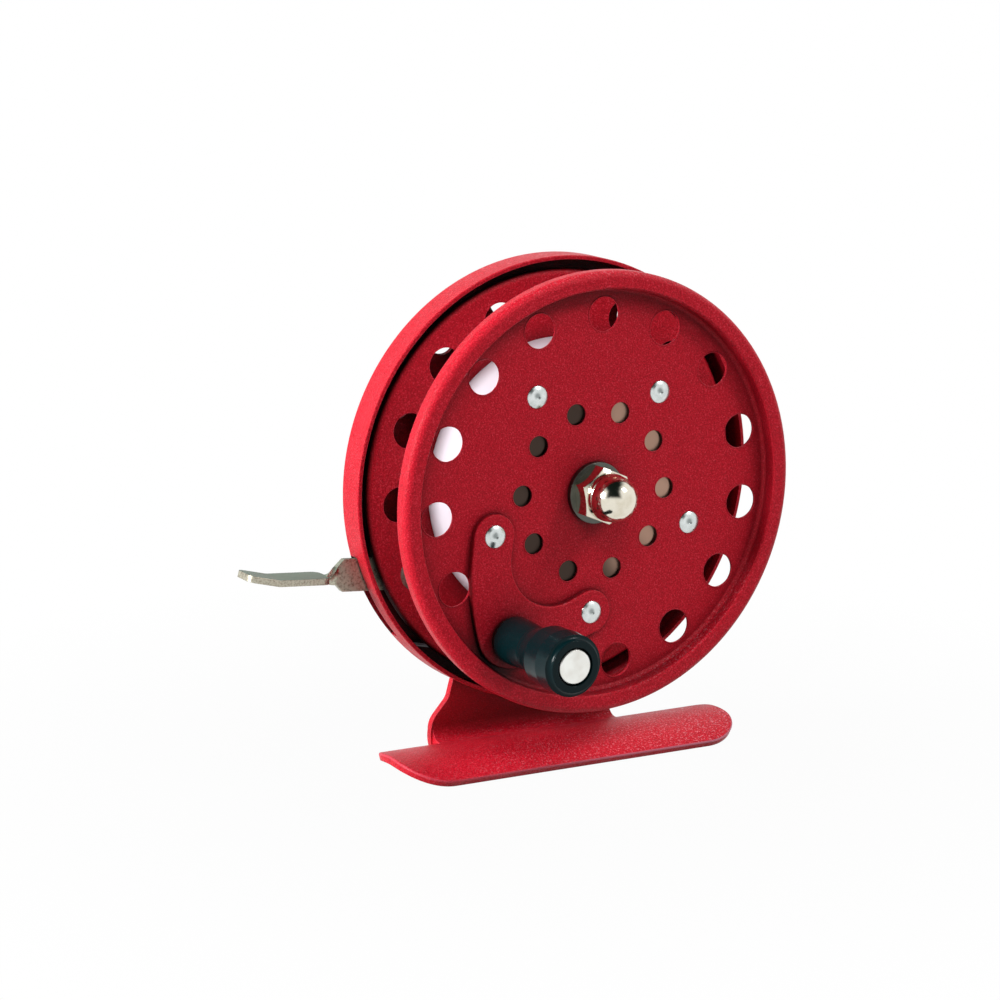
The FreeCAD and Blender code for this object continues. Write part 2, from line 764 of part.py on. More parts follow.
# Knob: a moulded grip, waisted near its base and barrel shaped at its end
knob = new_body("knob_grip")
RECESS_FLOOR = f"{HEAD_BACK} + knob_gap"
turn(knob, "grip", [
    ("pin_radius + running_gap", KNOB_BASE),
    ("pin_radius + running_gap", RECESS_FLOOR),
    ("knob_recess_radius", RECESS_FLOOR),
    ("knob_recess_radius", KNOB_FACE),
    ("knob_barrel_radius - knob_crown - knob_round", KNOB_FACE, "knob_round", "right"),
    ("knob_barrel_radius - knob_crown", f"{KNOB_FACE} + knob_round", "knob_crown_bow", "right"),
    ("knob_barrel_radius", f"{KNOB_FACE} + knob_crown_place", "knob_crown_bow", "right"),
    ("knob_shoulder_radius", f"{KNOB_BASE} - knob_shoulder_place", "knob_shoulder_bow", "right"),
    ("knob_shoulder_radius - knob_shoulder_step",
     f"{KNOB_BASE} - knob_shoulder_place + knob_shoulder_run"),
    ("knob_waist_radius + knob_neck_step",
     f"{KNOB_BASE} - knob_waist_place - knob_neck_run", "knob_neck_bow", "left"),
    ("knob_waist_radius",
     f"{KNOB_BASE} - knob_waist_place + knob_waist_run", "knob_waist_bow", "left"),
    ("knob_base_radius", f"{KNOB_BASE} - knob_base_round", "knob_base_round", "right"),
    ("knob_base_radius - knob_base_round", KNOB_BASE),
])
on_axis(knob, *PIN_SPOT)

# Spindle: threaded front end, long journal, and a tail peened over behind the pan
spindle = new_body("spindle")
TAIL_FACE = f"({PAN_BACK} + rear_washer_thickness)"
TAIL_SPHERE = ("(spindle_head_radius * spindle_head_radius + spindle_head_height"
               " * spindle_head_height) / (2 * spindle_head_height)")
turn(spindle, "spindle_bar", [
    ("0", "-thread_length"),
    ("thread_radius - thread_bevel", "-thread_length"),
    ("thread_radius", "-thread_length + thread_bevel"),
    ("thread_radius", WASHER_BACK),
    ("journal_radius", WASHER_BACK),
    ("journal_radius", "pan_floor"),
    ("thread_radius", "pan_floor"),
    ("thread_radius", TAIL_FACE),
    ("spindle_head_radius", TAIL_FACE, TAIL_SPHERE, "left"),
    ("0", f"{TAIL_FACE} + spindle_head_height"),
])
on_axis(spindle)
WASHER_HOLE = "thread_radius + thread_clearance"
ring("front_washer", WASHER_HOLE, "washer_radius", WASHER_FACE, WASHER_BACK)
ring("thrust_washer", "journal_radius + running_gap", "washer_radius", THRUST_FACE, "pan_floor")
ring("rear_washer", WASHER_HOLE, "rear_washer_radius", PAN_BACK, TAIL_FACE)

# Acorn nut: hexagon with chamfered corners, a plain neck and a polished dome
nut = new_body("acorn_nut")
NUT_FRONT = f"({WASHER_FACE} - nut_height)"
NUT_CORNER = "nut_flats / sqrt(3)"
hexagon = new_sketch(nut, "hexagon", "XZ_Plane", f"-({NUT_FRONT})")
trace(hexagon, [polar(NUT_CORNER, f"{60 * step} + nut_turn") for step in range(6)])
pad(nut, "nut_hex", hexagon, "nut_height", rearwards=True)
groove_section = new_sketch(nut, "corner_section", "XY_Plane")
trace(groove_section, [
    ("nut_flats / 2 - nut_bevel", NUT_FRONT),
    ("nut_flats", f"{NUT_FRONT} + (nut_flats / 2 + nut_bevel) * tan(nut_bevel_slope)"),
    ("nut_flats", f"{NUT_FRONT} - nut_root"),
    ("nut_flats / 2 - nut_bevel", f"{NUT_FRONT} - nut_root"),
])
chamfer = nut.newObject("PartDesign::Groove", "nut_chamfer")
chamfer.Profile = groove_section
chamfer.ReferenceAxis = (groove_section, ["V_Axis"])
chamfer.Angle = 360
doc.recompute()
NUT_TIP = f"({WASHER_FACE} - nut_total_height)"
turn(nut, "nut_crown", [
    ("0", f"{NUT_FRONT} + nut_root"),
    ("0", NUT_TIP, "nut_dome_radius", "left"),
    ("nut_dome_radius * cos(45)", f"{NUT_TIP} + nut_dome_radius * (1 - cos(45))",
     "nut_dome_radius", "left"),
    ("nut_dome_radius", f"{NUT_TIP} + nut_dome_radius"),
    ("nut_dome_radius", f"{NUT_FRONT} - nut_neck_height"),
    ("nut_neck_radius", f"{NUT_FRONT} - nut_neck_height + nut_crease"),
    ("nut_neck_radius", f"{NUT_FRONT} + nut_root"),
])
thread_spot = new_sketch(nut, "thread_spot", "XZ_Plane", f"-({WASHER_FACE})")
circle(thread_spot, "0", "0", "thread_radius")
cut(nut, "nut_thread", thread_spot, f"thread_length + nut_thread_room + {WASHER_FACE}")
on_axis(nut)

# Rear pan: a pressed disc with its rim turned forward round the rear flange
pan = new_body("rear_pan")
turn(pan, "pan_pressing", [
    ("thread_radius", "pan_floor"),
    ("pan_radius - pan_bend", "pan_floor", "pan_bend - pan_sheet", "right"),
    (PAN_BORE, f"{PAN_BACK} - pan_bend"),
    (PAN_BORE, "pan_front"),
    ("pan_radius - pan_edge", "pan_front", "pan_edge", "left"),
    ("pan_radius", "pan_front + pan_edge"),
    ("pan_radius", f"{PAN_BACK} - pan_bend", "pan_bend", "left"),
    ("pan_radius - pan_bend", PAN_BACK),
    ("thread_radius", PAN_BACK),
])
vent_spot = new_sketch(pan, "vent_spot", "XZ_Plane")
circle(vent_spot, *polar("pan_radius - vent_margin", "vent_start"), "vent_radius")
vent = cut(pan, "vent", vent_spot)
repeat(pan, "vents", vent, SIZES["vent_count"], SIZES["vent_pitch"] * (SIZES["vent_count"] - 1))
slot_outline = new_sketch(pan, "slot_outline", "XZ_Plane", "-slot_front")
trace(slot_outline, [
    polar("pan_radius - slot_margin", "slot_top"),
    polar("pan_radius - slot_margin", "slot_bottom"),
    polar("pan_radius + slot_margin", "slot_bottom"),
    polar("pan_radius + slot_margin", "slot_top"),
])
cut(pan, "lever_slot", slot_outline, "pan_floor - slot_front", rearwards=True)
PIVOT = ("-pivot_left", "-pivot_drop")
POST = ("-bracket_rivet_side", "-bracket_rivet_drop")
RIVETS_LOW = [("bracket_rivet_side", "-bracket_rivet_drop")]
RIVETS_HIGH = [(f"{sign}bracket_rivet_inner", "-bracket_rivet_drop + bracket_rivet_rise")
               for sign in ("-", "")]
BRACKET_SPOTS = RIVETS_LOW + RIVETS_HIGH
pan_bores = new_sketch(pan, "pan_bores", "XZ_Plane")
circle(pan_bores, *PIVOT, "pivot_radius")
for spot in [POST] + BRACKET_SPOTS:
    circle(pan_bores, *spot, "bracket_rivet_shank")
cut(pan, "pan_rivet_holes", pan_bores)
on_axis(pan)

# Foot bracket: an arched foot whose rear edge is folded up into a flat stem
bracket = new_body("foot_bracket")
arch_section = new_sketch(bracket, "arch_section", "YZ_Plane")
ARCH_INNER = "arch_radius - bracket_sheet"
trace(arch_section, [
    ("arch_radius * sin(arch_half)", f"{ARCH_CENTRE} + arch_radius * cos(arch_half)",
     "arch_radius", "left"),
    ("-arch_radius * sin(arch_half)", f"{ARCH_CENTRE} + arch_radius * cos(arch_half)"),
    (f"-({ARCH_INNER}) * sin(arch_half)", "0", ARCH_INNER, "right"),
    (f"({ARCH_INNER}) * sin(arch_half)", "0"),
])
pad(bracket, "arch", arch_section, "foot_length", midplane=True)
HALF = "foot_length / 2"
# The blank's corners are cut square to the sheet, on planes that lean with its long edges
for tag, side in (("rear", 1), ("front", -1)):
    corner_plan = new_sketch(bracket, f"{tag}_corner_plan", "XY_Plane", ARCH_CENTRE)
    corner_plan.AttachmentOffset = FreeCAD.Placement(
        corner_plan.AttachmentOffset.Base,
        FreeCAD.Rotation(FreeCAD.Vector(-side, 0, 0), value("arch_half")))
    corner_plan.setExpression(".AttachmentOffset.Rotation.Angle", bound("arch_half"))
    doc.recompute()
    for end in (1, -1):
        trace(corner_plan, [
            (f"{end} * ({HALF} - foot_corner)", "0", "foot_corner", "right" if side == end else "left"),
            (f"{end} * {HALF}", f"{-side} * foot_corner"),
            (f"{end} * ({HALF} + foot_corner)", f"{-side} * foot_corner"),
            (f"{end} * ({HALF} + foot_corner)", f"{side} * foot_corner"),
            (f"{end} * ({HALF} - foot_corner)", f"{side} * foot_corner"),
        ])
    cut(bracket, f"{tag}_corners", corner_plan)
foot_top = value("arch_radius")
foot_axis_z = value(ARCH_CENTRE)


def on_foot_top(edge):
    """True for an edge that runs on the arch's upper face."""
    spots = [edge.valueAt(edge.FirstParameter + share * (edge.LastParameter - edge.FirstParameter))
             for share in (0.0, 0.37, 0.71, 1.0)]
    return all(abs(math.hypot(spot.y, spot.z - foot_axis_z) - foot_top) < 1e-4 for spot in spots)


soften(bracket, "foot_edge", "edge_round", on_foot_top)
STEM_FRONT = f"({PAN_BACK} - face_setback)"
stem_outline = new_sketch(bracket, "stem_outline", "XZ_Plane", f"-{STEM_FRONT}")
STEM_TOP = "axis_height - stem_top_drop"
trace(stem_outline, [
    ("-stem_top_half", STEM_TOP, "stem_shoulder", "left"),
    ("-stem_top_half - stem_shoulder", f"{STEM_TOP} - stem_shoulder"),
    ("-stem_left", "stem_kink_height + stem_kink_run"),
    ("-stem_kink_left", "stem_kink_height", "stem_kink_round", "right"),
    ("-stem_kink_left - stem_kink_step", "stem_kink_height - stem_kink_fall"),
    ("-stem_heel_left + stem_sweep_step", "stem_heel_height + stem_sweep_rise",
     "stem_sweep_round", "left"),
    ("-stem_heel_left", "stem_heel_height", "stem_heel_round", "left"),
    ("-stem_heel_left + stem_heel_tuck", "stem_bottom"),
    ("stem_right + stem_flare", "stem_bottom"),
    ("stem_right + stem_flare", "stem_flare_foot", "stem_flare", "right"),
    ("stem_right", "stem_flare_foot + stem_flare"),
    ("stem_right", f"{STEM_TOP} - stem_shoulder", "stem_shoulder", "left"),
    ("stem_right - stem_shoulder", STEM_TOP),
])
pad(bracket, "stem", stem_outline, "bracket_sheet", rearwards=True)
# The fold's inner bend, tangent to the stem and to the arch
FOLD_Y = f"({STEM_FRONT} - fold_radius)"
FOLD_RISE = f"sqrt((arch_radius + fold_radius) * (arch_radius + fold_radius) - {FOLD_Y} * {FOLD_Y})"
SHARE = "arch_radius / (arch_radius + fold_radius)"
fold_section = new_sketch(bracket, "fold_section", "YZ_Plane", "-stem_heel_left + fold_inset")
trace(fold_section, [
    (f"{FOLD_Y} * {SHARE}", f"{ARCH_CENTRE} + {FOLD_RISE} * {SHARE}", "fold_radius", "left"),
    (STEM_FRONT, f"{ARCH_CENTRE} + {FOLD_RISE}"),
    (f"{STEM_FRONT} + bracket_sheet / 2", f"{ARCH_CENTRE} + {FOLD_RISE}"),
    (f"{STEM_FRONT} + bracket_sheet / 2", "stem_bottom"),
    (f"{FOLD_Y} * {SHARE}", f"{ARCH_CENTRE} + {FOLD_RISE} * {SHARE} - bracket_sheet / 2"),
])
pad(bracket, "fold", fold_section, "stem_heel_left - fold_inset + stem_right")
stem_bores = new_sketch(bracket, "stem_bores", "XZ_Plane", f"-{STEM_FRONT}")
for across, up in [POST] + BRACKET_SPOTS:
    circle(stem_bores, across, f"axis_height + ({up})", "bracket_rivet_shank")
cut(bracket, "stem_rivet_holes", stem_bores, "bracket_sheet", rearwards=True)

# Rivets that join the pan and the bracket, and the post for the spring
bracket_rivet = rivet_corners(
    "bracket_rivet_shank", "bracket_rivet_head", "bracket_head_height", "pan_floor",
    "bracket_rivet_head", "bracket_tail_height", f"({BRACKET_BACK})")
fastener_group("bracket_rivets", bracket_rivet, BRACKET_SPOTS)
spring_post = new_body("spring_post")
POST_FACE = "(pan_floor - post_height)"
turn(spring_post, "post_bar", [
    ("0", POST_FACE),
    ("post_radius + post_lip", POST_FACE),
    ("post_radius + post_lip", f"{POST_FACE} + post_lip_height"),
    ("post_radius", f"{POST_FACE} + post_lip_height"),
    ("post_radius", "pan_floor"),
    ("bracket_rivet_shank", "pan_floor"),
    ("bracket_rivet_shank", BRACKET_BACK),
    ("bracket_rivet_head", BRACKET_BACK),
    ("bracket_rivet_head - post_tail_bevel", f"{BRACKET_BACK} + bracket_tail_height"),
    ("0", f"{BRACKET_BACK} + bracket_tail_height"),
])
on_axis(spring_post, *POST)

# Return spring: one bend of wire round the post, its upper leg under the lever
return_spring = new_body("return_spring")
SPRING_DEPTH = "(pan_floor - post_height + post_lip_height + spring_wire / 2 + spring_clearance)"
spring_route = new_sketch(return_spring, "spring_route", "XZ_Plane", f"-{SPRING_DEPTH}")
upper_start = polar("spring_loop", "spring_upper_angle - 90")
lower_start = polar("spring_loop", "spring_lower_angle + 90")
middle = polar("spring_loop", "(spring_upper_angle + spring_lower_angle) / 2 + 180")
# The lower leg ends just short of the pan's wall
LEG_X = f"({POST[0]} + {lower_start[0]})"
LEG_Z = f"({POST[1]} + {lower_start[1]})"
LEG_ALONG = f"({LEG_X} * cos(spring_lower_angle) + {LEG_Z} * sin(spring_lower_angle))"
LEG_WALL = f"({PAN_BORE} - spring_wire / 2 - spring_clearance)"
LOWER_LEG = (f"sqrt({LEG_ALONG} * {LEG_ALONG} - {LEG_X} * {LEG_X} - {LEG_Z} * {LEG_Z}"
             f" + {LEG_WALL} * {LEG_WALL}) - {LEG_ALONG}")
trace(spring_route, [
    beside(upper_start, "spring_upper_length", "spring_upper_angle"),
    (*upper_start, "spring_loop", "right"),
    (*middle, "spring_loop", "right"),
    lower_start,
    beside(lower_start, LOWER_LEG, "spring_lower_angle"),
], closed=False)
wire_section = return_spring.newObject("Sketcher::SketchObject", "wire_section")
wire_section.AttachmentSupport = [(spring_route, "Edge1")]
wire_section.MapMode = "NormalToEdge"
doc.recompute()
circle(wire_section, "0", "0", "spring_wire / 2")
wire = return_spring.newObject("PartDesign::AdditivePipe", "wire")
wire.Profile = wire_section
wire.Spine = spring_route
doc.recompute()
on_axis(return_spring, *POST)

# Check lever: a flat arm on its pivot, a pawl nose, a twisted neck and a thumb pad
lever = new_body("check_lever")
EDGE = "lever_width / 2"


def along(reach, offset):
    """Formulas of a point of the arm: its reach from the pivot and its offset upwards."""
    return (f"-({reach}) * cos(lever_rise) + ({offset}) * sin(lever_rise)",
            f"({reach}) * sin(lever_rise) + ({offset}) * cos(lever_rise)")


def nose(reach, offset):
    """Formulas of a point of the pawl: its reach from the pivot and its offset upwards."""
    return (f"({reach}) * cos(pawl_angle) - ({offset}) * sin(pawl_angle)",
            f"({reach}) * sin(pawl_angle) + ({offset}) * cos(pawl_angle)")


arm_outline = new_sketch(lever, "arm_outline", "XZ_Plane", "-lever_front")
trace(arm_outline, [
    along("arm_reach - arm_chamfer", EDGE),
    along("arm_reach", f"{EDGE} - arm_chamfer"),
    along("arm_reach", f"-{EDGE} + arm_chamfer"),
    along("arm_reach - arm_chamfer", f"-{EDGE}"),
    (*along("0", f"-{EDGE}"), EDGE, "left"),
    nose("pawl_root_reach", "-pawl_root_drop"),
    nose("pawl_reach - pawl_back_run", "-pawl_back_drop"),
    nose("pawl_reach + pawl_nose / 2", "-pawl_tip_height"),
    nose("pawl_reach + pawl_nose / 2", "0"),
    nose("pawl_reach - pawl_nose / 2", "0"),
    nose("pawl_reach - pawl_face_run", "-pawl_face_drop"),
    (*nose("pawl_throat_reach", "-pawl_throat_drop"), "pawl_throat_radius", "right"),
    nose("pawl_shoulder_reach", "pawl_shoulder_rise"),
    along("-arm_heel", EDGE),
])
pad(lever, "arm", arm_outline, "lever_sheet", rearwards=True)
pivot_spot = new_sketch(lever, "pivot_spot", "XZ_Plane")
circle(pivot_spot, "0", "0", "pivot_radius + pivot_gap")
cut(lever, "pivot_hole", pivot_spot)

# The neck turns a quarter turn between the upright arm and the level pad
NECK_STEPS = 4
MID_DEPTH = "lever_front + lever_sheet / 2"
sections = []
for step in range(NECK_STEPS + 1):
    share = step / NECK_STEPS
    reach = f"(arm_reach - neck_overlap + {share} * (neck_length + 2 * neck_overlap))"
    section = new_sketch(lever, f"neck_{step}", "YZ_Plane", f"-{reach} * cos(lever_rise)")
    section.setExpression(".AttachmentOffset.Base.x", bound(MID_DEPTH))
    section.setExpression(".AttachmentOffset.Base.y",
                          bound(f"{reach} * sin(lever_rise) - {share} * pad_drop"))
    section.AttachmentOffset.Rotation = FreeCAD.Rotation(FreeCAD.Vector(0, 0, 1), 90 * share)
    doc.recompute()
    trace(section, [(f"{sx} * lever_sheet / 2", f"{sy} * neck_width / 2")
                    for sx, sy in ((-1, -1), (1, -1), (1, 1), (-1, 1))])
    sections.append(section)
neck = lever.newObject("PartDesign::AdditiveLoft", "neck")
neck.Profile = sections[0]
neck.Sections = sections[1:]
neck.Ruled = False
doc.recompute()

# The pad, seen from the side, rises gently and turns up at its tip
PAD_START = ("-(arm_reach + neck_length) * cos(lever_rise)",
             "(arm_reach + neck_length) * sin(lever_rise) - pad_drop")
PAD_BEND = (f"{PAD_START[0]} - pad_length * cos(pad_rise)",
            f"{PAD_START[1]} + pad_length * sin(pad_rise)")
PAD_TIP = (f"{PAD_BEND[0]} - tip_length * cos(tip_rise)",
           f"{PAD_BEND[1]} + tip_length * sin(tip_rise)")


def off_pad(point, side, angle, reach="lever_sheet / 2"):
    """Point of the pad's upper (+) or lower (-) face above or below a point of its middle."""
    return (f"{point[0]} {side} ({reach}) * sin({angle})",
            f"{point[1]} {side} ({reach}) * cos({angle})")


MITRE = "lever_sheet / 2 / cos((tip_rise - pad_rise) / 2)"
HALF_BEND = "(pad_rise + tip_rise) / 2"
pad_side = new_sketch(lever, "pad_side", "XZ_Plane", f"-({MID_DEPTH})")
trace(pad_side, [
    off_pad(PAD_START, "+", "pad_rise"),
    off_pad(PAD_BEND, "+", HALF_BEND, MITRE),
    off_pad(PAD_TIP, "+", "tip_rise"),
    off_pad(PAD_TIP, "-", "tip_rise"),
    off_pad(PAD_BEND, "-", HALF_BEND, MITRE),
    off_pad(PAD_START, "-", "pad_rise"),
])
pad(lever, "thumb_pad", pad_side, "pad_width", midplane=True)
pad_half = value("pad_width") / 2
pad_middle = value(MID_DEPTH)
pad_left = value(f"{PAD_START[0]} + 0.5")


def pad_corner(edge):
    """True for the four short edges at the pad's corners."""
    box = edge.BoundBox
    flat = box.YLength < 1e-4 and abs(abs(box.YMin - pad_middle) - pad_half) < 1e-4
    return flat and box.XMax < pad_left and edge.Length < value("lever_sheet") * 1.05 \
        and box.ZLength > box.XLength


def pad_crease(edge):
    """True for the two edges across the pad where it bends."""
    box = edge.BoundBox
    inside = box.XMin > value(PAD_TIP[0]) + 1 and box.XMax < pad_left - 1
    return inside and box.YLength > value("pad_width") / 2 and box.XLength < 1e-4


soften(lever, "pad_creases", "pad_bend", pad_crease)
soften(lever, "pad_corners", "pad_corner_radius", pad_corner)
on_axis(lever, *PIVOT)

# Pivot rivet of the lever and the spacer that holds the lever off the pan
lever_pivot = new_body("lever_pivot")
HEAD_FACE = "(lever_front - end_float / 2)"
PIVOT_TAIL_SPHERE = ("(pivot_tail_radius * pivot_tail_radius + pivot_tail_height"
                     " * pivot_tail_height) / (2 * pivot_tail_height)")
turn(lever_pivot, "pivot_bar", [
    ("0", f"{HEAD_FACE} - pivot_head_height"),
    ("pivot_head_radius - pivot_head_bevel", f"{HEAD_FACE} - pivot_head_height"),
    ("pivot_head_radius", f"{HEAD_FACE} - pivot_head_height + pivot_head_bevel"),
    ("pivot_head_radius", HEAD_FACE),
    ("pivot_radius", HEAD_FACE),
    ("pivot_radius", PAN_BACK),
    ("pivot_tail_radius", PAN_BACK, PIVOT_TAIL_SPHERE, "left"),
    ("0", f"{PAN_BACK} + pivot_tail_height"),
])
on_axis(lever_pivot, *PIVOT)
lever_spacer = new_body("lever_spacer")
turn(lever_spacer, "spacer_ring", [
    ("pivot_radius", f"{LEVER_BACK} + end_float / 2"),
    ("lever_width / 2", f"{LEVER_BACK} + end_float / 2"),
    ("lever_width / 2", "pan_floor"),
    ("pivot_radius", "pan_floor"),
])
on_axis(lever_spacer, *PIVOT)

NODES = [
    "front_flange", "rear_flange", "line_drum", "hub_disc", "hub_bush", "check_wheel",
    "spool_rivets", "crank_rivets", "crank_plate", "knob_pin", "knob_washer", "knob_grip", "spindle",
    "front_washer", "thrust_washer", "rear_washer", "acorn_nut", "rear_pan", "foot_bracket",
    "bracket_rivets", "spring_post", "return_spring", "check_lever", "lever_pivot",
    "lever_spacer",
]

doc.recompute()
faulty = [item.Name for item in doc.Objects if {"Invalid", "Error"} & set(item.State)]
if faulty:
    raise RuntimeError(f"features that failed: {faulty}")
shapes = {}
for name in NODES:
    shape = doc.getObject(name).Shape
    if shape.isNull() or not shape.isValid() or not shape.Solids:
        raise RuntimeError(f"{name} has no valid solid")
    shapes[name] = shape

os.makedirs("parts", exist_ok=True)
for name, shape in shapes.items():
    shape.exportStep(os.path.join("parts", f"{name}.step"))
    print(f"{name}: {len(shape.Solids)} solid(s), {shape.Volume:.1f} mm3")
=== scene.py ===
"""Looks of a small single-action hand reel of pressed, enamelled and riveted sheet."""

import json
import logging
import math
from dataclasses import dataclass
from enum import Enum
from typing import Any

import bpy
from mathutils import Matrix, Vector


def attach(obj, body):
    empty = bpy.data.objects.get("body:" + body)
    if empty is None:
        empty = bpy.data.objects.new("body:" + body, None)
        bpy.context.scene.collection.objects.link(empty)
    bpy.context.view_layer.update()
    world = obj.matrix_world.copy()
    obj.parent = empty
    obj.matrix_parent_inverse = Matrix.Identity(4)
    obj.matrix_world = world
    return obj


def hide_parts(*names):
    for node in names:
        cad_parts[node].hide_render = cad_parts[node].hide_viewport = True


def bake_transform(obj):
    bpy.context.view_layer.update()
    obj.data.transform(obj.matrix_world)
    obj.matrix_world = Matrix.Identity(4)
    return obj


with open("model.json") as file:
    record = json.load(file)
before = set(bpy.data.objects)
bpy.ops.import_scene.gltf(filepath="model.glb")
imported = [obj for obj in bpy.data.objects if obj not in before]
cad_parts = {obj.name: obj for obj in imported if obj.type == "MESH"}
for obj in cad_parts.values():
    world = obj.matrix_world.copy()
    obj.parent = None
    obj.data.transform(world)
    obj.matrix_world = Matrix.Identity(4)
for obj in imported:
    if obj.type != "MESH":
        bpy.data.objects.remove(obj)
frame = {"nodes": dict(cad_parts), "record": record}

LOG = logging.getLogger("hand_reel")
MM = 0.001
WHITE = (1.0, 1.0, 1.0, 1.0)

# The spool's axis above the rod, and the plane of the front flange's face
AXIS_HEIGHT = 41.5 * MM
FACE = -8.75 * MM

Socket = bpy.types.NodeSocket
Tree = bpy.types.NodeTree
Pair = tuple[float, float]
Triple = tuple[float, float, float]


class Body(Enum):
    """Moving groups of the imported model."""

    FRAME = "frame"
    SPOOL = "spool"
    KNOB = "knob"
    LEVER = "lever"


def linear(hexa: str) -> tuple[float, float, float, float]:
    """Turn an sRGB hex colour to linear light.

    Args:
        hexa: Colour written as #RRGGBB.

    Returns:
        Red, green, blue and an alpha of 1.
    """
    parts = [int(hexa[i:i + 2], 16) / 255 for i in (1, 3, 5)]
    light = [c / 12.92 if c <= 0.04045 else ((c + 0.055) / 1.055) ** 2.4 for c in parts]
    return (*light, 1.0)


def per_metre(size_mm: float) -> float:
    """Scale of a pattern whose features have this size in millimetres."""
    return 1 / (size_mm * MM)


def metres(pair_mm: Pair) -> Pair:
    """Two lengths in metres, from millimetres."""
    return pair_mm[0] * MM, pair_mm[1] * MM


def add(tree: Tree, kind: str, values: dict[Any, Any] | None = None,
        **settings: Any) -> bpy.types.Node:
    """Add a node with its settings, values and links.

    Args:
        tree: Tree that gets the node.
        kind: Blender's name of the node's type.
        values: Input name or number to a value, or to a socket that is linked to it.
        **settings: Properties of the node.

    Returns:
        The new node.
    """
    made = tree.nodes.new(kind)
    for name, setting in settings.items():
        setattr(made, name, setting)
    for key, given in (values or {}).items():
        if isinstance(given, Socket):
            tree.links.new(given, made.inputs[key])
        else:
            made.inputs[key].default_value = given
    return made


def object_place(tree: Tree) -> Socket:
    """Place of a surface point in the object's own coordinates."""
    return add(tree, "ShaderNodeTexCoord").outputs["Object"]


def axes(tree: Tree, vector: Socket) -> bpy.types.NodeOutputs:
    """The parts of a vector, named X, Y and Z."""
    return add(tree, "ShaderNodeSeparateXYZ", {0: vector}).outputs


def maths(tree: Tree, operation: str, *terms: float | Socket) -> Socket:
    """Result of an operation on numbers.

    Args:
        tree: Tree that gets the node.
        operation: Blender's name of the operation.
        *terms: One to three numbers or sockets.

    Returns:
        The result's socket.
    """
    return add(tree, "ShaderNodeMath", dict(enumerate(terms)), operation=operation).outputs[0]


def vectors(tree: Tree, operation: str, *terms: Triple | Socket) -> Socket:
    """Result of an operation on vectors.

    Args:
        tree: Tree that gets the node.
        operation: Blender's name of the operation.
        *terms: One or two vectors or sockets.

    Returns:
        The socket of the number, where the operation gives one, and otherwise of the vector.
    """
    made = add(tree, "ShaderNodeVectorMath", dict(enumerate(terms)), operation=operation)
    return made.outputs["Value" if operation in ("LENGTH", "DOT_PRODUCT") else "Vector"]


def mapped(tree: Tree, value: Socket, source: tuple[float | Socket, float | Socket],
           target: Pair = (0.0, 1.0), smooth: bool = False) -> Socket:
    """Carry a number from one range to another and hold it at the ends.

    Args:
        tree: Tree that gets the node.
        value: The number.
        source: Its range. The first end may be the higher one.
        target: What the two ends become.
        smooth: Whether the change eases in and out.

    Returns:
        The result's socket.
    """
    return add(tree, "ShaderNodeMapRange", {
        "Value": value, "From Min": source[0], "From Max": source[1],
        "To Min": target[0], "To Max": target[1]},
        interpolation_type="SMOOTHSTEP" if smooth else "LINEAR").outputs[0]


def noise(tree: Tree, place: Socket, size_mm: float, detail: float,
          roughness: float = 0.5) -> Socket:
    """Cloudy pattern.

    Args:
        tree: Tree that gets the node.
        place: Coordinates of the pattern.
        size_mm: Size of its features.
        detail: How many finer layers it has.
        roughness: Weight of the finer layers.

    Returns:
        The socket of its value.
    """
    return add(tree, "ShaderNodeTexNoise", {
        "Vector": place, "Scale": per_metre(size_mm), "Detail": detail,
        "Roughness": roughness}).outputs[0]


def blended(tree: Tree, share: Socket, low: str | Socket, high: str | Socket) -> Socket:
    """Colour between two others.

    Args:
        tree: Tree that gets the node.
        share: Share of the second colour.
        low: Colour where the share is 0, as #RRGGBB or a socket.
        high: Colour where it is 1.

    Returns:
        The colour's socket.
    """
    first, second = (given if isinstance(given, Socket) else linear(given)
                     for given in (low, high))
    return add(tree, "ShaderNodeMix", {"Factor": share, 6: first, 7: second},
               data_type="RGBA").outputs[2]


def softened(tree: Tree, radius_mm: float) -> Socket:
    """Normal that rounds the edges off by this radius."""
    return add(tree, "ShaderNodeBevel", {"Radius": radius_mm * MM}, samples=4).outputs[0]


def blank_material(name: str) -> tuple[bpy.types.Material, Tree]:
    """Material with an empty node tree.

    Args:
        name: Name of the finish.

    Returns:
        The material and its tree.
    """
    material = bpy.data.materials.new(name)
    material.use_nodes = True
    material.node_tree.nodes.clear()
    return material, material.node_tree


def surfaced(tree: Tree, shader: bpy.types.Node) -> None:
    """Make a shader the material's surface.

    Args:
        tree: The material's tree.
        shader: Node whose first output is the surface.
    """
    add(tree, "ShaderNodeOutputMaterial", {"Surface": shader.outputs[0]})


